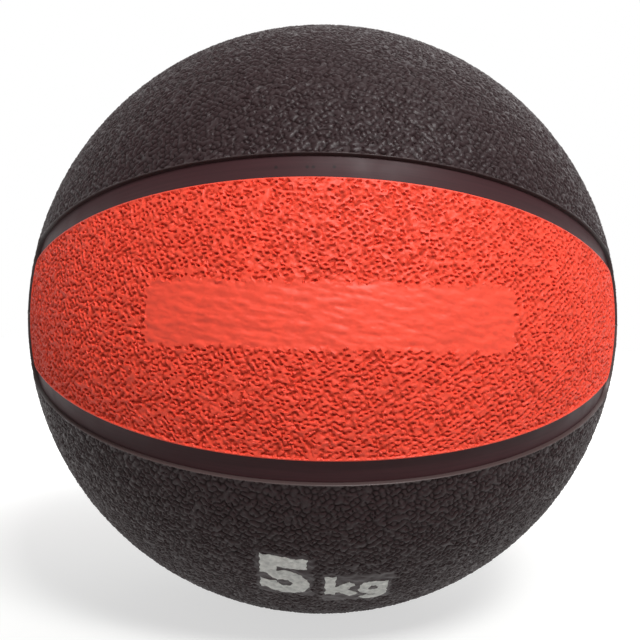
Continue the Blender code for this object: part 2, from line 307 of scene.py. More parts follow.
class BallSizes(bpy.types.PropertyGroup):
    """Sizes of the relief, the plaque and the weight mark."""

    panel_pitch: length("Panel pitch", "Mean distance between pits on the red panels", 0.00176)
    cover_pitch: length("Cover pitch", "Mean distance between pebbles on the black covers", 0.00195)
    panel_relief: length("Panel relief", "Depth of the pits in the red panels", 0.00088)
    cover_relief: length("Cover relief", "Depth of the valleys between the black pebbles", 0.00076)
    shoulder: length("Shoulder", "From the middle of a valley to a black pebble's shoulder", 0.00048)
    rim_width: length("Rim width", "Smooth border between a lip and the first pebbles", 0.0002)
    plaque_width: length("Plaque width", "Length of the smooth field on the front panel", 0.1212)
    plaque_height: length("Plaque height", "Height of the smooth field on the front panel", 0.0204)
    plaque_right: length("Plaque right", "How far the smooth field sits right of the middle", 0.0032)
    plaque_up: length("Plaque up", "How far the smooth field sits above the middle", 0.0010)
    smooth_drop: length("Smooth drop", "Depth of a smooth field below the pebbles' tops", 0.00040)
    ripple: length("Ripple", "Depth of the soft ripples in a smooth field", 0.00038)
    land_wave: length("Land wave", "Depth of the soft waves of the red land between its pits", 0.00018)
    cover_tilt: share("Cover tilt", "How much the black pebbles' tops lean, as a slope", 0.16)
    valve_field: length("Valve field", "Radius of the smooth field round the valve", 0.0096)
    ink_thickness: length("Ink thickness", "How far the printed mark stands on the rubber", 0.00012)
    merged: share("Merged pebbles", "Share of the black valleys that stay filled", 0.20)


class BallColours(bpy.types.PropertyGroup):
    """Colours of the rubbers, the ink and the layers inside."""

    red_rubber: colour("Red rubber", "Panels", "#EC4932")
    # Painted shade: the bottoms of the red pits are painted this darker red
    red_pit_painted_shade: colour("Red valley", "Bottom of the panels' pits", "#862317")
    black_rubber: colour("Black rubber", "Covers", "#251416")
    # Painted shade: the bottoms of the black valleys are painted this darker colour
    black_valley_painted_shade: colour("Black valley", "Bottom of the covers' valleys", "#0F0A09")
    # Painted highlight: the covers' smooth lips are painted this paler colour
    black_lip_painted_highlight: colour("Black land", "Smooth lips of the covers", "#483A39")
    channel_rubber: colour("Channel rubber", "Smooth channels", "#351C1F")
    carcass_rubber: colour("Carcass rubber", "Weighted shell under the cover", "#232122")
    nylon_thread: colour("Nylon thread", "Winding over the bladder", "#D9D2BE")
    butyl_rubber: colour("Butyl rubber", "Bladder", "#1F1F21")
    patch_fabric: colour("Patch fabric", "Rubberised patch round the valve", "#6E675C")
    valve_rubber: colour("Valve rubber", "Valve body and core", "#191514")
    # Painted shade: the pinholes are only dark spots painted on the channel
    pinhole: colour("Pinhole", "Trapped-air pinholes in the channel", "#0D0A0A")
    ink: colour("Ink", "Printed weight mark", "#DCDCD8")


class StageSettings(bpy.types.PropertyGroup):
    """Camera, lamps and floor."""

    distance: length("Camera distance", "From the ball's centre to the camera", 0.384)
    lens: FloatProperty(name="Lens", description="Focal length in mm on a 36 mm sensor", default=50.46)
    roll: FloatProperty(
        name="Roll", description="Turn of the camera about its view", default=radians(1.2), subtype="ANGLE"
    )
    shift_right: FloatProperty(name="Shift right", description="Lens shift, share of width", default=-0.0040)
    shift_up: FloatProperty(name="Shift up", description="Lens shift, share of width", default=-0.0015)
    key_power: FloatProperty(name="Key", description="Power of the main lamp", default=12.2, unit="POWER")
    fill_power: FloatProperty(name="Fill", description="Power of the fill lamp", default=7.5, unit="POWER")
    surround: FloatProperty(name="Surround", description="Strength of the world's light", default=0.20)
    floor: colour("Floor", "Studio paper", "#B4B4B2")


def unit(vectors):
    """The same vectors at length one."""
    return vectors / np.linalg.norm(vectors, axis=-1, keepdims=True)


def direction(azimuth, elevation):
    """Unit vectors from the ball's centre: azimuth 0 is the front and a quarter turn is the right side."""
    azimuth, elevation = np.broadcast_arrays(np.asarray(azimuth, float), np.asarray(elevation, float))
    flat = np.cos(elevation)
    return np.stack([flat * np.sin(azimuth), -flat * np.cos(azimuth), np.sin(elevation)], -1)


def tangents(normals):
    """East and north over the surface at each direction."""
    upright = np.where(np.abs(normals[..., 2:]) < 0.99, (0.0, 0.0, 1.0), (0.0, 1.0, 0.0))
    east = unit(np.cross(upright, normals))
    return east, np.cross(normals, east)


def smooth_step(values, start, end):
    """From 0 at start to 1 at end, with level ends."""
    ramp = np.clip((values - start) / (end - start), 0, 1)
    return ramp * ramp * (3 - 2 * ramp)


def arc(centre, spread, start, end, steps):
    """Directions at one angle from a centre, turning evenly about it from start's side to end's side."""
    first = unit(start - centre * (start @ centre))
    last = unit(end - centre * (end @ centre))
    side = unit(last - first * (last @ first))
    turn = np.linspace(0, np.arccos(np.clip(first @ last, -1, 1)), steps + 1)[:, None]
    return centre * cos(spread) + (first * np.cos(turn) + side * np.sin(turn)) * sin(spread)


def panel_corner(edge_pole, end_centre, end_angle, corner_angle):
    """Centre of the corner circle that touches the long edge and the end circle from inside."""
    lean = edge_pole @ end_centre
    below_edge = -sin(corner_angle)
    inside_end = cos(end_angle - corner_angle)
    flat = edge_pole * (below_edge - inside_end * lean) + end_centre * (inside_end - below_edge * lean)
    flat /= 1 - lean * lean
    side = np.cross(edge_pole, end_centre)
    return flat + side * sqrt((1 - flat @ flat) / (side @ side))


# Panel outline: a great circle as long edge, a shallow arc as end and a corner circle between them
rise = PANEL_HEIGHT / 2 / ball_radius
reach = pi / 2 - (SIDE_BRIDGE_WIDTH / 2 + CHANNEL_WIDTH) / ball_radius
end_angle = PANEL_END_RADIUS / ball_radius
corner_angle = PANEL_CORNER_RADIUS / ball_radius
edge_pole = np.array((0.0, sin(rise), cos(rise)))
end_centre = direction(reach - end_angle, 0.0)
end_east = direction(reach - end_angle + pi / 2, 0.0)
corner_centre = panel_corner(edge_pole, end_centre, end_angle, corner_angle)
edge_touch = corner_centre - edge_pole * (corner_centre @ edge_pole)
end_touch = corner_centre - end_centre


def quarter_outline(offset):
    """Right upper quarter of the panel's outline, or a parallel curve, from the end to the middle."""
    shift = offset / ball_radius
    end = arc(end_centre, end_angle + shift, direction(reach, 0.0), corner_centre, END_STEPS)
    bend = arc(corner_centre, corner_angle + shift, end_touch, edge_touch, CORNER_STEPS)
    edge = arc(edge_pole, pi / 2 - shift, corner_centre, direction(0.0, rise), EDGE_STEPS)
    return np.concatenate([end, bend[1:], edge[1:]])


def upper_outline(offset):
    """Upper half of the outline's parallel curve, from the right end over the top to the left end."""
    quarter = quarter_outline(offset)
    return np.concatenate([quarter, quarter[-2::-1] * (-1, 1, 1)])


def same_side(plane_point, seen_from, points, marker):
    """Where points lie on a marker's side of the plane through the ball's centre and two others."""
    normal = np.cross(seen_from, plane_point)
    return (points @ normal) * (marker @ normal) > 0


def past_outline(points):
    """How far each direction lies outside the nearer panel's outline, over the surface, negative inside."""
    folded = np.abs(points) * (1, -1, 1)
    past_edge = np.arcsin(np.clip(folded @ edge_pole, -1, 1))
    past_end = np.arccos(np.clip(folded @ end_centre, -1, 1)) - end_angle
    past_corner = np.arccos(np.clip(folded @ corner_centre, -1, 1)) - corner_angle
    in_corner = same_side(edge_touch, corner_centre, folded, end_touch)
    in_corner &= same_side(end_touch, corner_centre, folded, edge_touch)
    in_end = same_side(corner_centre, end_centre, folded, end_east) & (folded @ end_east > 0)
    past = np.where(in_end, np.maximum(past_edge, past_end), past_edge)
    return ball_radius * np.where(in_corner, past_corner, past)


def from_front(points):
    """Distance over the surface from the middle of the front."""
    return ball_radius * np.arccos(np.clip(points @ FRONT, -1, 1))


def panel_inset(points):
    """How far each direction lies inside the front panel's flat top."""
    past_middle = ball_radius * np.arcsin(points[..., 1])
    return np.minimum(-PANEL_SETBACK - LIP_RUN - past_outline(points), -past_middle)


def bored_panel_inset(points):
    """The same on a panel with the valve's bore."""
    return np.minimum(panel_inset(points), from_front(points) - bore_radius - EDGE_ROUNDING)


def cover_inset(points):
    """How far each direction lies inside the upper cover's crest."""
    above_parting = ball_radius * np.arcsin(points[..., 2])
    return np.minimum(past_outline(points) - CHANNEL_WIDTH - LIP_RUN + COVER_REACH, above_parting)


def panel_loop(inset):
    """Closed loop this far inside the panel's flat top, anticlockwise as seen from outside."""
    upper = upper_outline(-PANEL_SETBACK - LIP_RUN - inset)
    return np.concatenate([upper, upper[-2:0:-1] * (1, 1, -1)])


def cover_loop(inset):
    """Closed loop this far inside the upper cover's crest, along both channels and the two bridges."""
    level = inset / ball_radius
    front = upper_outline(CHANNEL_WIDTH + LIP_RUN - COVER_REACH + inset)[::-1].copy()
    spacing = front[1, 2] - front[0, 2]
    front[[0, -1], 2] = level
    kept = front[:, 2] > level + spacing / 2
    kept[[0, -1]] = True
    front = unit(front[kept])
    bridge_start = atan2(front[-1, 0], -front[-1, 1])
    azimuths = np.linspace(bridge_start, pi - bridge_start, BRIDGE_STEPS + 1)[1:-1]
    right = direction(azimuths, asin(level))
    return np.concatenate([front, right, front[::-1] * (1, -1, 1), right[::-1] * (-1, 1, 1)])


def bore_loop(inset):
    """Closed loop this far outside the valve's rounded bore, clockwise as seen from outside."""
    turns = -2 * pi * np.arange(BORE_STEPS) / BORE_STEPS
    spread = (bore_radius + EDGE_ROUNDING + inset) / ball_radius
    return np.stack([sin(spread) * np.cos(turns), -cos(spread) + 0 * turns, sin(spread) * np.sin(turns)], -1)


def lip_levels():
    """Inset and radius at each level of a cover's lip, from its crest to the floor and the underside."""
    turns = np.linspace(pi / 2, 0, LIP_STEPS + 1)
    run = LIP_RUN - COVER_REACH
    levels = [(-run * cos(t), channel_floor + CHANNEL_DEPTH * sin(t)) for t in turns]
    return levels + [(-run, cover_under)]


def panel_lip_levels():
    """The same for a panel, whose edge is tighter: a small rounding, then a straight wall."""
    turns = np.linspace(pi / 2, 0, LIP_STEPS)
    levels = [(-PANEL_ROUNDING * cos(t), ball_radius - PANEL_ROUNDING * (1 - sin(t))) for t in turns]
    return levels + [(-PANEL_ROUNDING, channel_floor), (-PANEL_ROUNDING, cover_under)]


def bore_levels(drop):
    """The same for the valve's bore, whose wall is straight, from a smooth field that lies a drop down."""
    turns = np.linspace(pi / 2, 0, LIP_STEPS)
    wall = [(bore_radius + EDGE_ROUNDING * (1 - cos(t)), EDGE_ROUNDING * (1 - sin(t))) for t in turns]
    wall.append((bore_radius, COVER_THICKNESS - drop))
    levels = [(r, ball_radius - drop - down) for r, down in wall]
    return [(ball_radius * asin(r / radius) - bore_radius - EDGE_ROUNDING, radius) for r, radius in levels]


def flat_view(points, centre):
    """Stereographic view of directions from the far side, which keeps their triangles well shaped."""
    east, north = tangents(centre)
    return np.stack([points @ east, points @ north], -1) / (1 + points @ centre)[:, None]


def equal_area(points, centre):
    """Flat map of directions round a centre that keeps their areas."""
    east, north = tangents(centre)
    return np.stack([points @ east, points @ north], -1) * np.sqrt(2 / (1 + points @ centre))[:, None]


def triangulate(points, centre, loops=()):
    """Triangles between directions, all of them or those inside the first loop and outside the others.

    A loop is the first and the last but one of a run of point numbers, and the first runs anticlockwise.
    """
    areas = [list(range(*loop)) for loop in loops]
    areas[1:] = [area[::-1] for area in areas[1:]]
    flat = [Vector(p) for p in flat_view(points, centre).tolist()]
    found = delaunay_2d_cdt(flat, [], areas, 0, TRIANGLE_TOLERANCE, bool(loops))
    if len(found[0]) != len(points):
        raise RuntimeError("two points of a surface fell together")
    if not loops:
        return np.array(found[2])
    return np.array([triangle for triangle, inside in zip(found[2], found[5]) if inside == [0]])


def even_spread(pitch, wanted):
    """Directions spread evenly over the ball, about a pitch apart, where wanted says so."""
    count = int(4 * pi * ball_radius ** 2 / pitch ** 2)
    step = np.arange(count) + 0.5
    up = 1 - 2 * step / count
    flat = np.sqrt(1 - up * up)
    points = np.stack([flat * np.cos(step * GOLDEN_TURN), flat * np.sin(step * GOLDEN_TURN), up], -1)
    return points[wanted(points)]


def seed_borders(seeds, centre):
    """Pairs of neighbouring seeds, with the two points where each pair's border ends, and the triangles."""
    triangles = triangulate(seeds, centre)
    first, second, third = (seeds[triangles[:, i]] for i in range(3))
    corners = unit(np.cross(second - first, third - first))
    corners *= np.sign((corners * first).sum(1, keepdims=True))
    sides = np.sort(np.concatenate([triangles[:, [0, 1]], triangles[:, [1, 2]], triangles[:, [2, 0]]]), 1)
    owner = np.tile(np.arange(len(triangles)), 3)
    order = np.lexsort((sides[:, 1], sides[:, 0]))
    sides, owner = sides[order], owner[order]
    shared = np.flatnonzero((sides[1:] == sides[:-1]).all(1))
    return sides[shared], np.stack([owner[shared], owner[shared + 1]], 1), corners, triangles


def border_reach(seeds, pairs, turns, most):
    """Angle from each seed to its rounded border at each turn about it, and the pair that shares it."""
    near = np.concatenate([pairs[:, 0], pairs[:, 1]])
    far = np.concatenate([pairs[:, 1], pairs[:, 0]])
    order = np.argsort(near, kind="stable")
    near, far = near[order], far[order]
    rank = np.arange(len(near)) - np.searchsorted(near, near)
    east, north = tangents(seeds)
    away = seeds[far] - seeds[near]
    half = np.full((len(seeds), rank.max() + 1), np.inf)
    heading = np.zeros_like(half)
    pair = np.zeros(half.shape, int)
    half[near, rank] = np.linalg.norm(away, axis=1) / 2
    heading[near, rank] = np.arctan2((away * north[near]).sum(1), (away * east[near]).sum(1))
    pair[near, rank] = order % len(pairs)
    facing = np.cos(turns[:, :, None] - heading[:, None, :])
    nearness = np.where(facing > 0, facing / half[:, None, :], 0)
    total = (nearness ** CORNER_ROUNDNESS).sum(2)
    border = np.minimum(np.maximum(total, LEAST_NEARNESS) ** (-1 / CORNER_ROUNDNESS), most)
    return border, np.take_along_axis(pair, nearness.argmax(2), 1)


def seed_ring(seeds, pairs, rng, count, reach_share, back, most, stretch=0.0):
    """Ring of directions round each seed, at a share of the way to its border less a distance.

    With them come their flat offsets from the seed, in metres, and the pair whose border each one faces. A
    stretched ring is wider and less high by that share.
    """
    turns = rng.random((len(seeds), 1)) * 2 * pi + np.arange(count) * 2 * pi / count
    border, pair = border_reach(seeds, pairs, turns, most)
    spread = np.maximum(border * reach_share - back / ball_radius, border * min(reach_share, LEAST_REACH))
    spread *= 1 + stretch * np.cos(2 * turns)
    east, north = tangents(seeds)
    sideways = east[:, None] * np.cos(turns)[..., None] + north[:, None] * np.sin(turns)[..., None]
    ring = seeds[:, None] * np.cos(spread)[..., None] + sideways * np.sin(spread)[..., None]
    offsets = np.stack([np.cos(turns), np.sin(turns)], -1) * spread[..., None] * ball_radius
    return ring.reshape(-1, 3), offsets.reshape(-1, 2), pair.ravel()


def border_middles(corners, ends, most):
    """Which borders are long, and the middle of each of those."""
    span = np.linalg.norm(corners[ends[:, 0]] - corners[ends[:, 1]], axis=1) / most
    is_long = (span > LONG_BORDER[0]) & (span < LONG_BORDER[1])
    return is_long, unit(corners[ends[is_long, 0]] + corners[ends[is_long, 1]])


def thinned(points, gap):
    """Index of one point in each cell of a grid this fine, so that no two lie nearly together."""
    cells = np.floor(points * ball_radius / gap).astype(np.int64)
    return np.sort(np.unique(cells, axis=0, return_index=True)[1])


def ripples(points, depth, waves):
    """Soft uneven waves of a moulded surface, with so many to the metre along each axis."""
    places = points * ball_radius * waves
    places[:, 2] += places[:, 0] * WAVE_SLANT
    slow = np.array([noise.noise(Vector(p)) for p in places.tolist()])
    quick = np.array([noise.noise(Vector(p)) for p in (places * QUICK_RATE + QUICK_SHIFT).tolist()])
    return depth * (slow + QUICK_SHARE * quick)


def side_by_side(seeds, pairs):
    """From 0 for a pair of seeds one above the other to 1 for a pair side by side."""
    near, far = seeds[pairs[:, 0]], seeds[pairs[:, 1]]
    return np.abs((unit(far - near) * tangents(near)[0]).sum(1))


def field_heights(points, sizes, waves):
    """Heights of a smooth field at directions: it lies a drop down and has soft ripples."""
    return np.minimum(ripples(points, sizes.ripple, waves) - sizes.smooth_drop, -FIELD_SINK)


def scattered(pitch, inset, rng):
    """Seeds spread unevenly over a surface and a margin round it."""
    seeds = even_spread(pitch, lambda points: inset(points) > -SEED_MARGIN * pitch)
    seeds = seeds[rng.random(len(seeds)) > LOST_SHARE]
    return unit(seeds + rng.normal(size=seeds.shape) * UNEVEN_SHARE * pitch / ball_radius)


def pits(inset, sizes, seed, is_smooth):
    """Parts of a red panel's surface: pits in soft waves of land, which dips where two run together."""
    pitch = sizes.panel_pitch
    most = pitch / ball_radius
    rng = np.random.default_rng(seed)
    seeds = scattered(pitch, inset, rng)
    pairs, ends, corners, triangles = seed_borders(seeds, FRONT)
    stands = ~is_smooth(seeds)
    tone = rng.random(len(seeds))
    is_faint = rng.random(len(seeds)) < FAINT_SHARE
    pit = np.where(is_faint, rng.uniform(*FAINT_PIT, len(seeds)), rng.uniform(*FULL_PIT, len(seeds)))
    pit *= stands
    joining = JOINED_SHARE * (1 + ROW_SHARE * (2 * side_by_side(seeds, pairs) - 1))
    is_joined = rng.random(len(pairs)) < joining
    dip = np.where(is_joined, rng.uniform(*JOINED_DIP, len(pairs)), rng.uniform(*LAND_DIP, len(pairs)))
    dip *= pit[pairs].max(1)

    parts = [(seeds, pit, tone, ~stands)]
    for count, reach_share, dropped in PIT_RINGS:
        ring, pair = seed_ring(seeds, pairs, rng, count, reach_share, 0.0, most, PIT_STRETCH)[::2]
        owner = np.repeat(np.arange(len(seeds)), count)
        parts.append((ring, np.maximum(pit[owner] * dropped, dip[pair]), tone[owner], ~stands[owner]))

    is_long, middles = border_middles(corners, ends, most)
    points = np.concatenate([corners, middles])
    stand = np.concatenate([stands[triangles].any(1), stands[pairs[is_long]].any(1)])
    depth = np.concatenate([rng.uniform(*LAND_DIP, len(corners)) * stand[:len(corners)], dip[is_long]])
    tones = np.concatenate([tone[triangles].mean(1), tone[pairs[is_long]].mean(1)])
    single = thinned(points, LEAST_APART * pitch)
    parts.append((points[single], depth[single], tones[single], ~stand[single]))

    shaped = []
    for points, depth, tones, smooth in parts:
        waves = np.minimum(ripples(points, sizes.land_wave, LAND_WAVES) - sizes.land_wave / 2, 0)
        shaped.append((points, waves - depth * sizes.panel_relief, depth, tones, smooth))
    return shaped


def pebbles(sizes, seed, is_smooth):
    """Parts of an upper cover's surface: pebbles whose tops lean a little, with valleys between them."""
    pitch, relief = sizes.cover_pitch, sizes.cover_relief
    most = pitch / ball_radius
    rng = np.random.default_rng(seed)
    seeds = scattered(pitch, cover_inset, rng)
    pairs, ends, corners = seed_borders(seeds, TOP)[:3]
    stands = ~is_smooth(seeds)
    tone = rng.random(len(seeds))
    drop = rng.random(len(seeds)) * TOP_DROP * relief
    lean = rng.normal(size=(len(seeds), 2)) * sizes.cover_tilt
    drop += np.linalg.norm(lean, axis=1) * pitch * LEAN_DROP
    is_filled = rng.random(len(pairs)) < sizes.merged
    filled, opened = rng.uniform(*FILLED_VALLEY, len(pairs)), rng.uniform(*OPEN_VALLEY, len(pairs))
    depth = np.where(is_filled, filled, opened) * stands[pairs].any(1)

    # Each ring is its number of points, its share of the way to the border, how far back from there it lies
    # and its depth as a share of the valley's
    parts = []
    rings = (1, 0.0, 0.0, 0.0), (SHOULDER_POINTS, 1.0, sizes.shoulder, SHOULDER_DROP)
    for count, reach_share, back, dropped in rings:
        ring, offsets, pair = seed_ring(seeds, pairs, rng, count, reach_share, back, most)
        owner = np.repeat(np.arange(len(seeds)), count)
        fallen = dropped * depth[pair]
        heights = np.minimum((offsets * lean[owner]).sum(1) - fallen * relief - drop[owner], 0)
        parts.append((ring, heights, fallen, tone[owner], ~stands[owner]))

    corner_depth, borders_met = np.zeros((2, len(corners)))
    for side in (0, 1):
        np.add.at(corner_depth, ends[:, side], depth)
        np.add.at(borders_met, ends[:, side], 1)
    is_long, middles = border_middles(corners, ends, most)
    points = np.concatenate([corners, middles])
    deep = np.concatenate([corner_depth / np.maximum(borders_met, 1), depth[is_long]])
    single = thinned(points, LEAST_APART * pitch)
    deep = deep[single]
    heights = -np.maximum(deep, LEAST_VALLEY) * relief
    parts.append((points[single], heights, deep, np.full(len(single), MEAN_TONE), deep == 0))
    return parts


def finished_cloud(parts, inset, from_edge, sizes, waves):
    """Points, heights and looks of a surface from its parts, with smooth fields made and its rim faded.

    Each part holds its points, their heights, depths and tones, and where they lie in a smooth field.
    """
    points, heights, valleys, tones, smooth = map(np.concatenate, zip(*parts))
    kept = inset(points) > sizes.rim_width * RIM_START
    field = kept & smooth
    heights[field] = field_heights(points[field], sizes, waves)
    valleys[field] = 0
    fade = smooth_step(from_edge(points[kept]), sizes.rim_width, sizes.rim_width * RIM_FULL)
    looks = np.stack([valleys[kept] * fade, tones[kept], 1 - fade], 1)
    return points[kept], heights[kept] * fade, looks


def mesh_from(name, places, faces, sharp_from, **layers):
    """Smoothly shaded mesh with sharp edges from an angle in degrees, and values at its points by layer."""
    mesh = bpy.data.meshes.new(name)
    mesh.from_pydata(places.tolist(), [], faces.tolist())
    for layer_name, values in layers.items():
        layer = mesh.attributes.new(layer_name, "FLOAT", "POINT")
        layer.data.foreach_set("value", values.astype(np.float32))
    mesh.shade_smooth()
    mesh.set_sharp_from_angle(angle=radians(sharp_from))
    return mesh


def skin(name, centre, inset, outlines, cloud, sizes):
    """Closed mesh of a moulded skin: the pebbled outside, the walls under each outline and the underside.

    Each outline is its loop function and its levels, whose first is the edge of the outside and whose last
    is the edge of the underside. The flat map has no overlap, and the underside is a strip of its own in it.
    """
    points, heights, looks = cloud
    rims = [loop(sizes.rim_width * RIM_LINE) for loop, levels in outlines]
    edges = [loop(0.0) for loop, levels in outlines]
    outside = np.concatenate(edges + rims + [points])
    spans = np.cumsum([0] + [len(edge) for edge in edges])
    loops = list(zip(spans[:-1].tolist(), spans[1:].tolist()))
    top = triangulate(outside, centre, loops)

    radii = [np.full(len(edge), levels[0][1]) for edge, (loop, levels) in zip(edges, outlines)]
    radii += [np.full(len(rim), levels[0][1]) for rim, (loop, levels) in zip(rims, outlines)]
    radii.append(ball_radius + heights)
    places = [outside * np.concatenate(radii)[:, None]]
    looks = [np.tile(SMOOTH_LOOK, (len(outside) - len(points), 1)), looks]
    flat = [equal_area(outside, centre)]
    faces = [top]
    total = len(outside)
    under_loops = []
    for (start, end), (loop, levels) in zip(loops, outlines):
        above = np.arange(start, end)
        run = 0.0
        for (last_inset, last_radius), (level_inset, radius) in zip(levels, levels[1:]):
            run += hypot(level_inset - last_inset, radius - last_radius)
            below = np.arange(total, total + end - start)
            places.append(loop(level_inset) * radius)
            flat.append(equal_area(loop(-run), centre))
            looks.append(np.tile(SMOOTH_LOOK, (end - start, 1)))
            after, under_after = np.roll(above, -1), np.roll(below, -1)
            faces.append(np.stack([above, below, under_after], 1))
            faces.append(np.stack([above, under_after, after], 1))
            above = below
            total += end - start
        under_loops.append((above[0], above[-1] + 1, levels[-1]))

    inner = even_spread(UNDERSIDE_PITCH, lambda p: inset(p) > UNDERSIDE_PITCH / 2)
    rim_places = [outline[0](level[0]) for outline, (_, _, level) in zip(outlines, under_loops)]
    under = np.concatenate(rim_places + [inner])
    under_numbers = [np.arange(first, last) for first, last, _ in under_loops]
    under_numbers.append(total + np.arange(len(inner)))
    spans = np.cumsum([0] + [len(rim) for rim in rim_places])
    bottom = triangulate(under, centre, list(zip(spans[:-1].tolist(), spans[1:].tolist())))
    places.append(inner * cover_under)
    flat.append(equal_area(inner, centre))
    looks.append(np.tile(SMOOTH_LOOK, (len(inner), 1)))
    wall_count = sum(len(part) for part in faces)
    faces.append(np.concatenate(under_numbers)[bottom][:, ::-1])

    places, flat, looks, faces = map(np.concatenate, (places, flat, looks, faces))
    valley, tone, land = looks.T
    mesh = mesh_from(name, places, faces, SKIN_SHARP, valley=valley, tone=tone, land=land)
    low, high = flat.min(0), flat.max(0)
    corners = (flat[faces] - low) / (high - low)
    corners[:wall_count] = corners[:wall_count] * OUTSIDE_MAP[0] + OUTSIDE_MAP[1]
    corners[wall_count:] = corners[wall_count:] * UNDERSIDE_MAP[0] + UNDERSIDE_MAP[1]
    layer = mesh.uv_layers.new(name="OFBake")
    layer.uv.foreach_set("vector", corners.astype(np.float32).ravel())
    return mesh


def in_plaque(points):
    """Where directions lie on the smooth field in the middle of the front panel."""
    sizes = bpy.context.scene.ball_sizes
    right = ball_radius * np.arctan2(points[:, 0], -points[:, 1]) - sizes.plaque_right
    up = ball_radius * np.arcsin(points[:, 2]) - sizes.plaque_up
    beyond_right = np.maximum(np.abs(right) - sizes.plaque_width / 2 + PLAQUE_CORNER, 0)
    beyond_up = np.maximum(np.abs(up) - sizes.plaque_height / 2 + PLAQUE_CORNER, 0)
    return np.hypot(beyond_right, beyond_up) < PLAQUE_CORNER


def in_valve_field(points):
    """Where directions lie on the smooth disc round the valve, with the panel laid to the front."""
    return from_front(points) < bpy.context.scene.ball_sizes.valve_field


def in_mark_field(points):
    """Where directions lie on the smooth fields under the weight mark, with the cover turned upright."""
    centre = direction(0.0, MARK_ELEVATION)
    east, north = tangents(centre)
    upright = points * (-1, 1, -1)
    ahead = upright @ centre
    flat = np.stack([upright @ east, upright @ north], 1) / np.maximum(ahead, MARK_NEAR)[:, None]
    flat *= ball_radius
    flat[:, 1] -= flat[:, 0] * MARK_SLOPE
    inside = np.zeros(len(points), bool)
    for figure, middle, height, width in MARK_FIGURES:
        across = np.abs(flat - middle)
        inside |= (across < (width / 2 + MARK_MARGIN, height / 2 + MARK_MARGIN)).all(1)
    return inside & (ahead > MARK_NEAR)


def nowhere(points):
    """No smooth field."""
    return np.zeros(len(points), bool)


def place(name, mesh, material, stands_for=None):
    """Object for a mesh that rides with the ball, in place of a CAD node where it stands for one."""
    mesh.materials.clear()
    mesh.materials.append(material)
    piece = bpy.data.objects.new(name, mesh)
    bpy.context.scene.collection.objects.link(piece)
    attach(piece, "root")
    if stands_for:
        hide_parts(stands_for)
    return piece


def turn_mesh(mesh, angle, axis):
    """Turn a mesh about an axis through the ball's centre."""
    mesh.transform(Matrix.Rotation(angle, 4, axis))
    return mesh


def panel_skin(name, sizes, seed, is_smooth, with_bore):
    """Red panel, laid to the front."""
    inset = bored_panel_inset if with_bore else panel_inset
    outlines = [(panel_loop, panel_lip_levels())]
    if with_bore:
        outlines.append((bore_loop, bore_levels(sizes.smooth_drop)))
    parts = pits(inset, sizes, seed, is_smooth)
    cloud = finished_cloud(parts, inset, panel_inset, sizes, PLAQUE_WAVES)
    return skin(name, FRONT, inset, outlines, cloud, sizes)


def cover_skin(name, sizes, seed, is_smooth, lip_highlight_share):
    """Black cover, laid as the upper one, with its parting face just above the middle plane.

    The highlight share is how much its smooth lips take of the paler land colour, a painted highlight.
    """
    parts = pebbles(sizes, seed, is_smooth)
    cloud = finished_cloud(parts, cover_inset, cover_inset, sizes, MARK_WAVES)
    mesh = skin(name, TOP, cover_inset, [(cover_loop, lip_levels())], cloud, sizes)
    places = np.empty(len(mesh.vertices) * 3, np.float32)
    mesh.vertices.foreach_get("co", places)
    places[2::3] = np.maximum(places[2::3], PARTING_GAP / 2)
    mesh.vertices.foreach_set("co", places)
    # The smooth lips take this share of the paler land colour, which is a painted highlight
    land = np.empty(len(mesh.vertices), np.float32)
    mesh.attributes["land"].data.foreach_get("value", land)
    mesh.attributes["land"].data.foreach_set("value", land * lip_highlight_share)
    return mesh


def channel_strip(name):
    """Smooth channel with a dished floor, laid to the front, with its length and width at each point."""
    panel_side = PANEL_ROUNDING - PANEL_SETBACK - LIP_RUN + PARTING_GAP
    cover_side = CHANNEL_WIDTH - PARTING_GAP
    offsets = np.linspace(panel_side, cover_side, DISH_STEPS + 1)
    dish = CHANNEL_DISH * np.sin(np.linspace(0, pi, DISH_STEPS + 1))
    section = list(zip(offsets, channel_floor - dish))
    section += [(cover_side, cover_under), (panel_side, cover_under)]
    rings = [panel_loop(-PANEL_SETBACK - LIP_RUN - offset) * radius for offset, radius in section]
    count, levels = len(rings[0]), len(rings)
    numbers = np.arange(count * levels).reshape(levels, count)
    ahead, outward = np.roll(numbers, -1, 1), np.roll(numbers, -1, 0)
    across_ahead = np.roll(outward, -1, 1)
    faces = np.stack([numbers, outward, across_ahead, ahead], -1).reshape(-1, 4)
    steps = np.linalg.norm(np.diff(rings[0], axis=0, append=rings[0][:1]), axis=1)
    along = np.tile(np.cumsum(steps), levels)
    across = np.repeat([offset for offset, radius in section], count)
    return mesh_from(name, np.concatenate(rings), faces, STRIP_SHARP, along=along, across=across)


def turned(name, profile):
    """Closed mesh of a profile of radius and depth turned about the valve's axis, which is Y."""
    mesh = bpy.data.meshes.new(name)
    shape = bmesh.new()
    turns = [2 * pi * i / TURN_STEPS for i in range(TURN_STEPS)]
    columns = [[shape.verts.new((r * cos(t), y, r * sin(t))) for r, y in profile] for t in turns]
    for near, far in zip(columns, columns[1:] + columns[:1]):
        for i in range(len(profile)):
            if profile[i - 1][0] or profile[i][0]:
                shape.faces.new((near[i - 1], near[i], far[i], far[i - 1]))
    bmesh.ops.remove_doubles(shape, verts=shape.verts, dist=WELD_DISTANCE)
    bmesh.ops.recalc_face_normals(shape, faces=shape.faces)
    shape.to_mesh(mesh)
    shape.free()
    mesh.shade_smooth()
    mesh.set_sharp_from_angle(angle=radians(STRIP_SHARP))
    return mesh


def rounded(corner, before, after, radius):
    """Arc that rounds a corner of a profile whose sides run straight along its two axes."""
    back = unit(np.subtract(before, corner)) * radius
    on = unit(np.subtract(after, corner)) * radius
    turns = np.linspace(0, pi / 2, ROUNDING_STEPS + 1)
    return [tuple(np.add(corner, back * (1 - sin(t)) + on * (1 - cos(t)))) for t in turns]


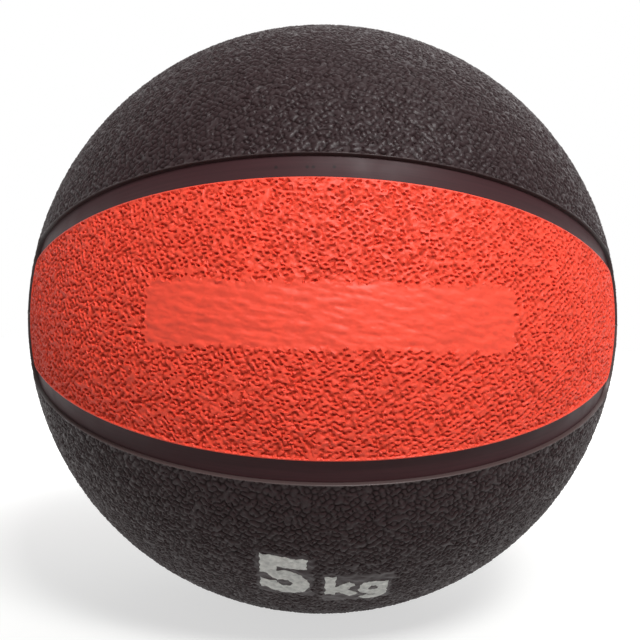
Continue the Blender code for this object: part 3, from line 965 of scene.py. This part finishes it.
def dished(radius, inner_reach, outer_reach):
    """Profile points on a sphere about the ball's centre, between two distances from the valve's axis."""
    reaches = np.linspace(inner_reach, outer_reach, FLANGE_STEPS + 1)
    return [(reach, sqrt(radius * radius - reach * reach)) for reach in reaches]


def valve_body_mesh(name):
    """Valve body: a tube with a rounded mouth and a dished flange inside the bladder."""
    flange_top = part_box("valve_body")[0].y + FLANGE_THICKNESS
    flange_top = sqrt(flange_top ** 2 + flange_radius ** 2)
    top = dished(flange_top, body_radius, flange_radius)
    bottom = dished(flange_top - FLANGE_THICKNESS, body_bore_radius, flange_radius)
    outer, inner = (body_radius, mouth), (body_bore_radius, mouth)
    tube = rounded(outer, top[0], inner, EDGE_ROUNDING)
    groove = [
        (body_bore_radius, collar_top + SEAM_GAP),
        (groove_radius, collar_top + SEAM_GAP),
        (groove_radius, collar_foot - SEAM_GAP),
        (body_bore_radius, collar_foot - SEAM_GAP),
    ]
    tube += rounded(inner, outer, groove[0], EDGE_ROUNDING)
    return turned(name, bottom + list(reversed(top)) + tube + groove)


def valve_core_mesh(name):
    """Valve core: a plug with a collar, a rounded face and a funnel for the needle."""
    hole_foot = mouth - NEEDLE_HOLE_DEPTH
    face = (CORE_RADIUS, mouth)
    funnel = np.linspace(0, 1, FUNNEL_STEPS + 1)
    profile = [
        (0.0, mouth - CORE_LENGTH),
        (CORE_RADIUS, mouth - CORE_LENGTH),
        (CORE_RADIUS, collar_foot),
        (collar_radius, collar_foot),
        (collar_radius, collar_top),
        (CORE_RADIUS, collar_top),
    ]
    profile += rounded(face, profile[-1], (0.0, mouth), EDGE_ROUNDING)
    drop = [NEEDLE_DIMPLE_DEPTH * (1 - cos(pi * s)) / 2 for s in funnel]
    run = [NEEDLE_DIMPLE_RADIUS + (NEEDLE_HOLE_RADIUS - NEEDLE_DIMPLE_RADIUS) * s for s in funnel]
    profile += [(r, mouth - d) for r, d in zip(run, drop)]
    profile += [(NEEDLE_HOLE_RADIUS, hole_foot), (0.0, hole_foot)]
    return turned(name, profile)


def stroke(path, width, size):
    """Closed outline of a stroke of a printed figure, in metres, in short steps and slightly ragged."""
    path = np.array(path)
    ahead = np.diff(path, axis=0)
    ahead = unit(np.concatenate([ahead[:1], ahead[:-1] + ahead[1:], ahead[-1:]]))
    aside = np.stack([-ahead[:, 1], ahead[:, 0]], 1) * width / 2
    corners = np.concatenate([path - aside, (path + aside)[::-1]]) * size
    outline = []
    for start, end in zip(corners, np.roll(corners, -1, 0)):
        steps = max(1, round(np.linalg.norm(end - start) / MARK_STEP))
        outline += [start + (end - start) * i / steps for i in range(steps)]
    wave = RAGGED_WAVE * MARK_STEP
    ragged = [noise.noise_vector(Vector((*point, 0.0)) / wave)[:2] for point in outline]
    return np.array(outline) + np.array(ragged) * MARK_RAGGED


def inside_outline(points, outline):
    """Where flat points lie inside an outline, by how many of its edges a line to the right crosses."""
    (ax, ay), (bx, by) = outline.T, np.roll(outline, -1, 0).T
    px, py = points[:, 0, None], points[:, 1, None]
    spans = (ay > py) != (by > py)
    with np.errstate(divide="ignore", invalid="ignore"):
        crossing = px < (bx - ax) * (py - ay) / (by - ay) + ax
    return (spans & crossing).sum(1) % 2 == 1


def printed_figure(figure, middle, height, width, sizes):
    """Points and triangles of a thin closed skin of ink that lies over the ripples of its smooth field."""
    stroke_width, paths = figure
    outlines = [stroke(path, stroke_width, height) for path in paths]
    reach = max(height, width)
    grid = np.arange(-FILL_REACH, FILL_REACH, FILL_STEP) * reach
    filling = np.stack(np.meshgrid(grid, grid), -1).reshape(-1, 2)
    filling = filling[np.any([inside_outline(filling, outline) for outline in outlines], 0)]
    starts = np.cumsum([0] + [len(outline) for outline in outlines])
    areas = [list(range(start, end)) for start, end in zip(starts.tolist(), starts[1:].tolist())]
    flat = np.concatenate(outlines + [filling])
    found = delaunay_2d_cdt([Vector(p) for p in flat.tolist()], [], areas, 0, FLAT_TOLERANCE, True)
    flat = np.array([tuple(p) for p in found[0]])
    triangles = np.array([triangle for triangle, inside in zip(found[2], found[5]) if inside])
    triangles = np.unique(triangles, return_inverse=True)
    flat, triangles = flat[triangles[0]], triangles[1].reshape(-1, 3)

    centre = direction(0.0, MARK_ELEVATION)
    east, north = tangents(centre)
    offsets = flat - (flat.min(0) + flat.max(0)) / 2
    offsets = (offsets * (width, height) / np.ptp(flat, axis=0) + middle) / ball_radius
    offsets[:, 1] += offsets[:, 0] * MARK_SLOPE
    points = unit(centre + offsets[:, :1] * east + offsets[:, 1:] * north)
    field = ball_radius + field_heights(points * (-1, 1, -1), sizes, MARK_WAVES)
    sides = np.concatenate([triangles[:, [0, 1]], triangles[:, [1, 2]], triangles[:, [2, 0]]])
    known = {tuple(side) for side in sides.tolist()}
    edge = np.array([side for side in sides.tolist() if (side[1], side[0]) not in known])
    below = edge + len(points)
    walls = [np.stack([edge[:, 0], below[:, 0], below[:, 1]], 1)]
    walls.append(np.stack([edge[:, 0], below[:, 1], edge[:, 1]], 1))
    thick = sizes.ink_thickness
    places = np.concatenate([points * (field + thick)[:, None], points * (field - thick)[:, None]])
    return places, np.concatenate([triangles, triangles[:, ::-1] + len(points), *walls])


def printed_mark(name, sizes):
    """Mesh of all printed figures."""
    noise.seed_set(MARK_SEED)
    places, faces, count = [], [], 0
    for figure in MARK_FIGURES:
        points, triangles = printed_figure(*figure, sizes)
        places.append(points)
        faces.append(triangles + count)
        count += len(points)
    return mesh_from(name, np.concatenate(places), np.concatenate(faces), INK_SHARP)


def socket(sockets, name):
    """The socket with this identifier, or else this name."""
    return next((s for s in sockets if s.identifier == name), None) or sockets[name]


def feed(material, node, inputs):
    """Link each input of a node where it is given as a node and its output, else set it."""
    for name, value in inputs.items():
        target = socket(node.inputs, name)
        if isinstance(value, tuple) and isinstance(value[0], bpy.types.Node):
            material.node_tree.links.new(socket(value[0].outputs, value[1]), target)
        else:
            target.default_value = value


def add(material, kind, inputs, **settings):
    """Node of a kind with its settings and its inputs."""
    node = material.node_tree.nodes.new("ShaderNode" + kind)
    for name, value in settings.items():
        setattr(node, name, value)
    feed(material, node, inputs)
    return node


def opaque(rgb):
    """A property's colour with full alpha."""
    return (*rgb, 1.0)


def toned(material, base, pattern, least, most, between=None):
    """Node of a colour whose lightness follows a pattern, from a least share to a most."""
    inputs = {"Value": pattern, "To Min": least, "To Max": most, **(between or {})}
    lightness = add(material, "MapRange", inputs)
    return add(material, "HueSaturation", {"Color": opaque(base), "Value": (lightness, "Result")})


def finish(material, inputs):
    """Give a new material's Principled shader its inputs, each constant on the shader's own socket."""
    feed(material, material.node_tree.nodes["Principled BSDF"], inputs)
    return material


def new_material(name):
    """New material with nodes, and the place on the object as an input for its patterns."""
    material = bpy.data.materials.new(name)
    material.use_nodes = True
    return material, (add(material, "TexCoord", {}), "Object")


def pebbled_rubber(name, base, valley, land, blotch_mm, grain_mm, roughness, specular):
    """Vulcanised rubber cast against an etched mould.

    It is matt and evenly coloured. The valleys are painted darker and given less gloss, which is painted
    shade in them, and they are rougher; each pebble or pit differs a little in tone. A fine grain, drawn
    coarser than the real one so that it shows, breaks up the gloss. The smooth lands take a colour of their
    own, on the black covers a paler one, which is a painted highlight on their lips.
    """
    material, place_at = new_material(name)
    deep = add(material, "Attribute", {}, attribute_name="valley")
    tone = add(material, "Attribute", {}, attribute_name="tone")
    smooth = add(material, "Attribute", {}, attribute_name="land")
    blotches = add(material, "TexNoise", {"Vector": place_at, "Scale": 1000 / blotch_mm, "Detail": 3.0})
    grain = add(material, "TexNoise", {"Vector": place_at, "Scale": 1000 / grain_mm, "Detail": 2.0})
    # The deeper a point lies, the more of the valley colour it takes, which is painted shade in pits and
    # valleys
    painted_shade_share = add(material, "Math", {"Value": (deep, "Fac"), "Value_001": 3.0}, operation="POWER")
    own_tone = add(material, "MapRange", {"Value": (tone, "Fac"), "To Min": 0.93, "To Max": 1.07})
    inputs = {"Value": (blotches, "Fac"), **NOISE_RANGE, "To Min": 0.95, "To Max": 1.05}
    own_blotch = add(material, "MapRange", inputs)
    inputs = {"Value": (own_tone, "Result"), "Value_001": (own_blotch, "Result")}
    lightness = add(material, "Math", inputs, operation="MULTIPLY")
    inputs = {"Factor_Float": (painted_shade_share, "Value"), "A_Color": opaque(base), "B_Color": opaque(valley)}
    valley_painted_shade = add(material, "Mix", inputs, data_type="RGBA")
    # The smooth lands take the land colour; on the black covers it is paler, a painted highlight on the lips
    inputs = {"Factor_Float": (smooth, "Fac"), "A_Color": (valley_painted_shade, "Result_Color")}
    polished = add(material, "Mix", {**inputs, "B_Color": opaque(land)}, data_type="RGBA")
    inputs = {"Color": (polished, "Result_Color"), "Value": (lightness, "Value")}
    shaded = add(material, "HueSaturation", inputs)
    inputs = {"Value": (deep, "Fac"), "Value_001": 0.15, "Value_002": roughness}
    dull = add(material, "Math", inputs, operation="MULTIPLY_ADD")
    # Less gloss towards the bottom of a valley, which is painted shade on its reflections
    inputs = {"Value": (deep, "Fac"), "To Min": specular, "To Max": specular * VALLEY_SHEEN}
    sheen = add(material, "MapRange", inputs)
    bump = add(material, "Bump", {"Height": (grain, "Fac"), "Strength": 0.35, "Distance": 0.00006})
    return finish(material, {
        "Base Color": (shaded, "Color"),
        "Roughness": (dull, "Value"),
        "IOR": RUBBER_IOR,
        "Specular IOR Level": (sheen, "Result"),
        "Normal": (bump, "Normal"),
    })


def smooth_channel_rubber(name, base, pinhole, pinholes):
    """Vulcanised rubber cast against a polished rib of the mould.

    It is a smooth satin strip with faint streaks along it, 30 mm long and 0.9 mm wide, a haze in patches of
    9 mm and a few pinholes where air was trapped. The pinholes are painted as dark spots on the flat strip,
    which is painted shade for the small holes.
    """
    material, place_at = new_material(name)
    along = add(material, "Attribute", {}, attribute_name="along")
    across = add(material, "Attribute", {}, attribute_name="across")
    strip = add(material, "CombineXYZ", {"X": (along, "Fac"), "Y": (across, "Fac")})
    inputs = {"Vector": (strip, "Vector"), "Scale": (1000 / 30, 1000 / 0.9, 1.0)}
    stretched = add(material, "Mapping", inputs)
    streaks = add(material, "TexNoise", {"Vector": (stretched, "Vector"), "Scale": 1.0, "Detail": 3.0})
    haze = add(material, "TexNoise", {"Vector": place_at, "Scale": 1000 / 9, "Detail": 4.0})
    nearest = None
    for hole in pinholes:
        inputs = {"Vector": place_at, "Vector_001": tuple(hole)}
        apart = add(material, "VectorMath", inputs, operation="DISTANCE")
        if nearest:
            inputs = {"Value": (nearest, "Value"), "Value_001": (apart, "Value")}
            nearest = add(material, "Math", inputs, operation="MINIMUM")
        else:
            nearest = apart
    # Each pinhole is a dark spot painted on the flat strip, which is painted shade for a small hole
    inputs = {"Value": (nearest, "Value"), "From Min": 0.00025, "From Max": 0.00085, "To Min": 1.0}
    pit = add(material, "MapRange", {**inputs, "To Max": 0.0})
    shaded = toned(material, base, (streaks, "Fac"), 0.86, 1.14, NOISE_RANGE)
    inputs = {"Factor_Float": (pit, "Result"), "A_Color": (shaded, "Color"), "B_Color": opaque(pinhole)}
    pitted = add(material, "Mix", inputs, data_type="RGBA")
    inputs = {"Value": (haze, "Fac"), **NOISE_RANGE, "To Min": 0.44, "To Max": 0.54}
    dull = add(material, "MapRange", inputs)
    bump = add(material, "Bump", {"Height": (streaks, "Fac"), "Strength": 0.25, "Distance": 0.00008})
    return finish(material, {
        "Base Color": (pitted, "Result_Color"),
        "Roughness": (dull, "Result"),
        "IOR": RUBBER_IOR,
        "Specular IOR Level": 0.14,
        "Normal": (bump, "Normal"),
    })


def plain_rubber(name, base, blotch_mm, roughness, bump_mm):
    """Moulded or calendered rubber sheet: evenly dark, with soft blotches of dust and slightly uneven."""
    material, place_at = new_material(name)
    blotches = add(material, "TexNoise", {"Vector": place_at, "Scale": 1000 / blotch_mm, "Detail": 4.0})
    shaded = toned(material, base, (blotches, "Fac"), 0.8, 1.2, NOISE_RANGE)
    inputs = {"Value": (blotches, "Fac"), **NOISE_RANGE, "To Min": roughness, "To Max": roughness + 0.12}
    dull = add(material, "MapRange", inputs)
    inputs = {"Height": (blotches, "Fac"), "Strength": 0.4, "Distance": bump_mm / 1000}
    bump = add(material, "Bump", inputs)
    return finish(material, {
        "Base Color": (shaded, "Color"),
        "Roughness": (dull, "Result"),
        "IOR": RUBBER_IOR,
        "Specular IOR Level": 0.4,
        "Normal": (bump, "Normal"),
    })


def wound_thread(name, base, thread_mm):
    """Nylon thread wound over the bladder in crossing layers, which change their way every 25 mm or so.

    Single threads are too fine to show, so a ridge is drawn as wide as about six of them.
    """
    material, place_at = new_material(name)
    patches = add(material, "TexVoronoi", {"Vector": place_at, "Scale": 1000 / 25})
    inputs = {"Vector": (patches, "Color"), "Vector_001": (pi, pi, pi)}
    ways = add(material, "VectorMath", inputs, operation="MULTIPLY")
    inputs = {"Vector": place_at, "Rotation": (ways, "Vector")}
    turned_place = add(material, "VectorRotate", inputs, rotation_type="EULER_XYZ")
    inputs = {"Vector": (turned_place, "Vector"), "Scale": 1000 / thread_mm / WAVE_RATE, "Distortion": 0.6}
    threads = add(material, "TexWave", inputs)
    shaded = toned(material, base, (threads, "Fac"), 0.55, 1.05)
    bump = add(material, "Bump", {"Height": (threads, "Fac"), "Strength": 0.8, "Distance": 0.0002})
    return finish(material, {
        "Base Color": (shaded, "Color"),
        "Roughness": 0.7,
        "IOR": 1.53,
        "Specular IOR Level": 0.4,
        "Normal": (bump, "Normal"),
    })


def woven_patch(name, base, thread_mm):
    """Cotton fabric spread with rubber: a plain weave whose threads show through a dull coat.

    The weave is drawn about six times as coarse as its threads, which are too fine to show.
    """
    material, place_at = new_material(name)
    inputs = {"Vector": place_at, "Scale": 1000 / thread_mm / WAVE_RATE, "Distortion": 0.3}
    warp = add(material, "TexWave", inputs, bands_direction="X")
    weft = add(material, "TexWave", inputs, bands_direction="Z")
    inputs = {"Value": (warp, "Fac"), "Value_001": (weft, "Fac")}
    weave = add(material, "Math", inputs, operation="MULTIPLY")
    shaded = toned(material, base, (weave, "Value"), 0.7, 1.1)
    bump = add(material, "Bump", {"Height": (weave, "Value"), "Strength": 0.6, "Distance": 0.0001})
    return finish(material, {
        "Base Color": (shaded, "Color"),
        "Roughness": 0.85,
        "IOR": 1.5,
        "Specular IOR Level": 0.3,
        "Normal": (bump, "Normal"),
    })


def screen_ink(name, base, patch_mm):
    """Pale screen ink on rubber: a thin dull film, patchy where it took less, with a faint sheen."""
    material, place_at = new_material(name)
    patches = add(material, "TexNoise", {"Vector": place_at, "Scale": 1000 / patch_mm, "Detail": 4.0})
    shaded = toned(material, base, (patches, "Fac"), 0.70, 1.32, NOISE_RANGE)
    inputs = {"Value": (patches, "Fac"), **NOISE_RANGE, "To Min": 0.4, "To Max": 0.6}
    dull = add(material, "MapRange", inputs)
    bump = add(material, "Bump", {"Height": (patches, "Fac"), "Strength": 0.5, "Distance": 0.0001})
    return finish(material, {
        "Base Color": (shaded, "Color"),
        "Roughness": (dull, "Result"),
        "IOR": 1.48,
        "Specular IOR Level": 0.4,
        "Normal": (bump, "Normal"),
    })


def seen_rays(material):
    """Node that is 1 for rays of the camera, straight, by a gloss or through glass, and 0 for light."""
    rays = add(material, "LightPath", {})
    inputs = {"Value": (rays, "Is Camera Ray"), "Value_001": (rays, "Is Glossy Ray")}
    seen = add(material, "Math", inputs, operation="MAXIMUM")
    inputs = {"Value": (seen, "Value"), "Value_001": (rays, "Is Transmission Ray")}
    return add(material, "Math", inputs, operation="MAXIMUM")


def pale_floor(name, base):
    """Matt studio paper, which keeps the ball's shadow and shows white to the camera where it is lit."""
    material, place_at = new_material(name)
    seen = seen_rays(material)
    away = add(material, "VectorMath", {"Vector": place_at}, operation="LENGTH")
    inputs = {"Value": (away, "Value"), "From Min": 0.16, "From Max": 0.50, "To Min": 0.62, "To Max": 1.0}
    whiter = add(material, "MapRange", inputs, interpolation_type="SMOOTHSTEP")
    inputs = {"Value": (seen, "Value"), "Value_001": (whiter, "Result")}
    lift = add(material, "Math", inputs, operation="MULTIPLY")
    glow = add(material, "Emission", {"Color": WHITE, "Strength": (lift, "Value")})
    finish(material, {"Base Color": opaque(base), "Roughness": 0.9, "Specular IOR Level": 0.1})
    nodes = material.node_tree.nodes
    inputs = {"Shader": (nodes["Principled BSDF"], "BSDF"), "Shader_001": (glow, "Emission")}
    both = add(material, "AddShader", inputs)
    feed(material, nodes["Material Output"], {"Surface": (both, "Shader")})
    return material


def white_surround(strength):
    """World that lights at a plain strength and shows white behind the ball and in its gloss."""
    world = bpy.data.worlds.new("white_surround")
    world.use_nodes = True
    bpy.context.scene.world = world
    inputs = {"Value": (seen_rays(world), "Value"), "To Min": strength, "To Max": 1.0}
    level = add(world, "MapRange", inputs)
    feed(world, world.node_tree.nodes["Background"], {"Color": WHITE, "Strength": (level, "Result")})


def lamp(name, place_at, size, power):
    """Square area lamp that faces the ball."""
    light = bpy.data.lights.new(name, "AREA")
    light.size = size
    light.energy = power
    made = bpy.data.objects.new(name, light)
    made.location = place_at
    made.rotation_euler = (-Vector(place_at)).to_track_quat("-Z", "Y").to_euler()
    bpy.context.scene.collection.objects.link(made)


def photo_camera(stage):
    """Camera at the photo's place: level with the ball's centre and straight in front of it."""
    camera = bpy.data.cameras.new("camera")
    camera.lens = stage.lens
    camera.sensor_width = 36.0
    camera.shift_x = stage.shift_right
    camera.shift_y = stage.shift_up
    camera.clip_start = 0.01
    made = bpy.data.objects.new("camera", camera)
    made.location = (0.0, -stage.distance, 0.0)
    made.rotation_euler = (pi / 2, -stage.roll, 0.0)
    bpy.context.scene.collection.objects.link(made)
    bpy.context.scene.camera = made


def paper_floor(name, radius, rings, turns):
    """Round sheet of studio paper under the ball, as rings that grow outward."""
    shape = bmesh.new()
    level = cad_box[0].z
    centre = shape.verts.new((0.0, 0.0, level))
    last = None
    for i in range(1, rings + 1):
        reach = radius * (i / rings) ** 2
        ring = [
            shape.verts.new((reach * cos(2 * pi * j / turns), reach * sin(2 * pi * j / turns), level))
            for j in range(turns)
        ]
        for j in range(turns):
            if last:
                shape.faces.new((last[j - 1], ring[j - 1], ring[j], last[j]))
            else:
                shape.faces.new((centre, ring[j - 1], ring[j]))
        last = ring
    mesh = bpy.data.meshes.new(name)
    shape.to_mesh(mesh)
    shape.free()
    return mesh


class WALL_BALL_OT_red_panels(bpy.types.Operator):
    """Build the pebbled red panels, the front one with its plaque and the rear one with the valve's bore"""

    bl_idname = "wall_ball.red_panels"
    bl_label = "Red Panels"

    def execute(self, context):
        sizes, colours = context.scene.ball_sizes, context.scene.ball_colours
        rubber = pebbled_rubber(
            "red_vulcanised_rubber_pebbled", colours.red_rubber, colours.red_pit_painted_shade, colours.red_rubber,
            blotch_mm=28, grain_mm=0.45, roughness=0.54, specular=0.42
        )
        front = panel_skin("front_panel_pebbled", sizes, seed=11, is_smooth=in_plaque, with_bore=False)
        rear = panel_skin("rear_panel_pebbled", sizes, seed=12, is_smooth=in_valve_field, with_bore=True)
        turn_mesh(rear, pi, "Z")
        place("front_panel_pebbled", front, rubber, "front_panel")
        place("rear_panel_pebbled", rear, rubber, "rear_panel")
        return {"FINISHED"}


class WALL_BALL_OT_black_covers(bpy.types.Operator):
    """Build the pebbled black covers, the lower one with the smooth fields of the weight mark"""

    bl_idname = "wall_ball.black_covers"
    bl_label = "Black Covers"

    def execute(self, context):
        sizes, colours = context.scene.ball_sizes, context.scene.ball_colours
        rubber = pebbled_rubber(
            "black_vulcanised_rubber_pebbled", colours.black_rubber, colours.black_valley_painted_shade,
            colours.black_lip_painted_highlight, blotch_mm=22, grain_mm=0.45, roughness=0.40, specular=0.24
        )
        # The lower cover's lips face up and take all of the painted highlight, the upper cover's 0.3 of it
        upper = cover_skin("upper_cover_pebbled", sizes, seed=21, is_smooth=nowhere, lip_highlight_share=0.3)
        lower = cover_skin("lower_cover_pebbled", sizes, seed=22, is_smooth=in_mark_field, lip_highlight_share=1.0)
        turn_mesh(lower, pi, "Y")
        place("upper_cover_pebbled", upper, rubber, "upper_cover")
        place("lower_cover_pebbled", lower, rubber, "lower_cover")
        return {"FINISHED"}


class WALL_BALL_OT_channels(bpy.types.Operator):
    """Build the smooth recessed channels round both panels"""

    bl_idname = "wall_ball.channels"
    bl_label = "Channels"

    def execute(self, context):
        colours = context.scene.ball_colours
        pinholes = [direction(radians(a), radians(e)) * channel_floor for a, e in PINHOLES]
        rubber = smooth_channel_rubber(
            "black_vulcanised_rubber_smooth", colours.channel_rubber, colours.pinhole, pinholes
        )
        front = channel_strip("front_channel_smooth")
        rear = turn_mesh(channel_strip("rear_channel_smooth"), pi, "Z")
        place("front_channel_smooth", front, rubber, "front_channel")
        place("rear_channel_smooth", rear, rubber, "rear_channel")
        return {"FINISHED"}


class WALL_BALL_OT_valve(bpy.types.Operator):
    """Build the valve's body and its core at the middle of the rear panel"""

    bl_idname = "wall_ball.valve"
    bl_label = "Valve"

    def execute(self, context):
        colours = context.scene.ball_colours
        rubber = plain_rubber(
            "black_butyl_rubber_moulded", colours.valve_rubber, blotch_mm=1.4, roughness=0.42, bump_mm=0.04
        )
        body = valve_body_mesh("valve_body_moulded")
        core = valve_core_mesh("valve_core_moulded")
        place("valve_body_moulded", body, rubber, "valve_body")
        place("valve_core_moulded", core, rubber, "valve_core")
        return {"FINISHED"}


class WALL_BALL_OT_weight_mark(bpy.types.Operator):
    """Print the plain weight mark on the lower cover"""

    bl_idname = "wall_ball.weight_mark"
    bl_label = "Weight Mark"

    def execute(self, context):
        sizes, colours = context.scene.ball_sizes, context.scene.ball_colours
        ink = screen_ink("pale_screen_ink", colours.ink, patch_mm=2.2)
        mesh = printed_mark("weight_mark_ink", sizes)
        place("weight_mark_ink", mesh, ink)
        return {"FINISHED"}


class WALL_BALL_OT_inner_layers(bpy.types.Operator):
    """Finish the carcass, winding, bladder and valve patch, which the cover hides"""

    bl_idname = "wall_ball.inner_layers"
    bl_label = "Inner Layers"

    def execute(self, context):
        colours = context.scene.ball_colours
        carcass = plain_rubber(
            "filled_rubber_calendered", colours.carcass_rubber, blotch_mm=6, roughness=0.75, bump_mm=0.15
        )
        bladder = plain_rubber(
            "butyl_rubber_sheet", colours.butyl_rubber, blotch_mm=12, roughness=0.5, bump_mm=0.05
        )
        finishes = {
            "upper_carcass": carcass,
            "lower_carcass": carcass,
            "thread_winding": wound_thread("nylon_thread_wound", colours.nylon_thread, thread_mm=0.6),
            "bladder": bladder,
            "valve_patch": woven_patch("rubberised_cotton_woven", colours.patch_fabric, thread_mm=0.7),
        }
        for node, finish in finishes.items():
            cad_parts[node].material_slots[0].material = finish
        return {"FINISHED"}


class WALL_BALL_OT_stage(bpy.types.Operator):
    """Set the camera, the lamps, the white surround and the paper floor"""

    bl_idname = "wall_ball.stage"
    bl_label = "Stage"

    def execute(self, context):
        stage = context.scene.ball_stage
        photo_camera(stage)
        lamp("key_lamp", *KEY_LAMP, stage.key_power)
        lamp("fill_lamp", *FILL_LAMP, stage.fill_power)
        white_surround(stage.surround)
        floor = bpy.data.objects.new("paper_floor", paper_floor("paper_floor", *FLOOR))
        floor.data.materials.append(pale_floor("studio_paper", stage.floor))
        context.scene.collection.objects.link(floor)
        context.scene.view_settings.view_transform = "Standard"
        return {"FINISHED"}


class WALL_BALL_PT_pieces(bpy.types.Panel):
    """Lists the ball's pieces in the 3D view's sidebar"""

    bl_label = "Wall Ball"
    bl_idname = "WALL_BALL_PT_pieces"
    bl_space_type = "VIEW_3D"
    bl_region_type = "UI"
    bl_category = "Wall Ball"

    def draw(self, context):
        for operator in OPERATORS:
            self.layout.operator(operator.bl_idname)
        for group in (context.scene.ball_sizes, context.scene.ball_colours, context.scene.ball_stage):
            box = self.layout.box()
            for name in group.bl_rna.properties.keys():
                if name not in ("rna_type", "name"):
                    box.prop(group, name)


OPERATORS = (
    WALL_BALL_OT_stage,
    WALL_BALL_OT_red_panels,
    WALL_BALL_OT_black_covers,
    WALL_BALL_OT_channels,
    WALL_BALL_OT_valve,
    WALL_BALL_OT_weight_mark,
    WALL_BALL_OT_inner_layers,
)
CLASSES = (BallSizes, BallColours, StageSettings, *OPERATORS, WALL_BALL_PT_pieces)


def register():
    """Register the property groups, the operators and the panel."""
    for made in CLASSES:
        bpy.utils.register_class(made)
    bpy.types.Scene.ball_sizes = PointerProperty(type=BallSizes)
    bpy.types.Scene.ball_colours = PointerProperty(type=BallColours)
    bpy.types.Scene.ball_stage = PointerProperty(type=StageSettings)


def unregister():
    """Take them back out."""
    del bpy.types.Scene.ball_stage
    del bpy.types.Scene.ball_colours
    del bpy.types.Scene.ball_sizes
    for made in reversed(CLASSES):
        bpy.utils.unregister_class(made)


def main():
    """Build everything in order."""
    register()
    bpy.ops.wall_ball.stage()
    bpy.ops.wall_ball.red_panels()
    bpy.ops.wall_ball.black_covers()
    bpy.ops.wall_ball.channels()
    bpy.ops.wall_ball.valve()
    bpy.ops.wall_ball.weight_mark()
    bpy.ops.wall_ball.inner_layers()


if __name__ == "__main__":
    main()
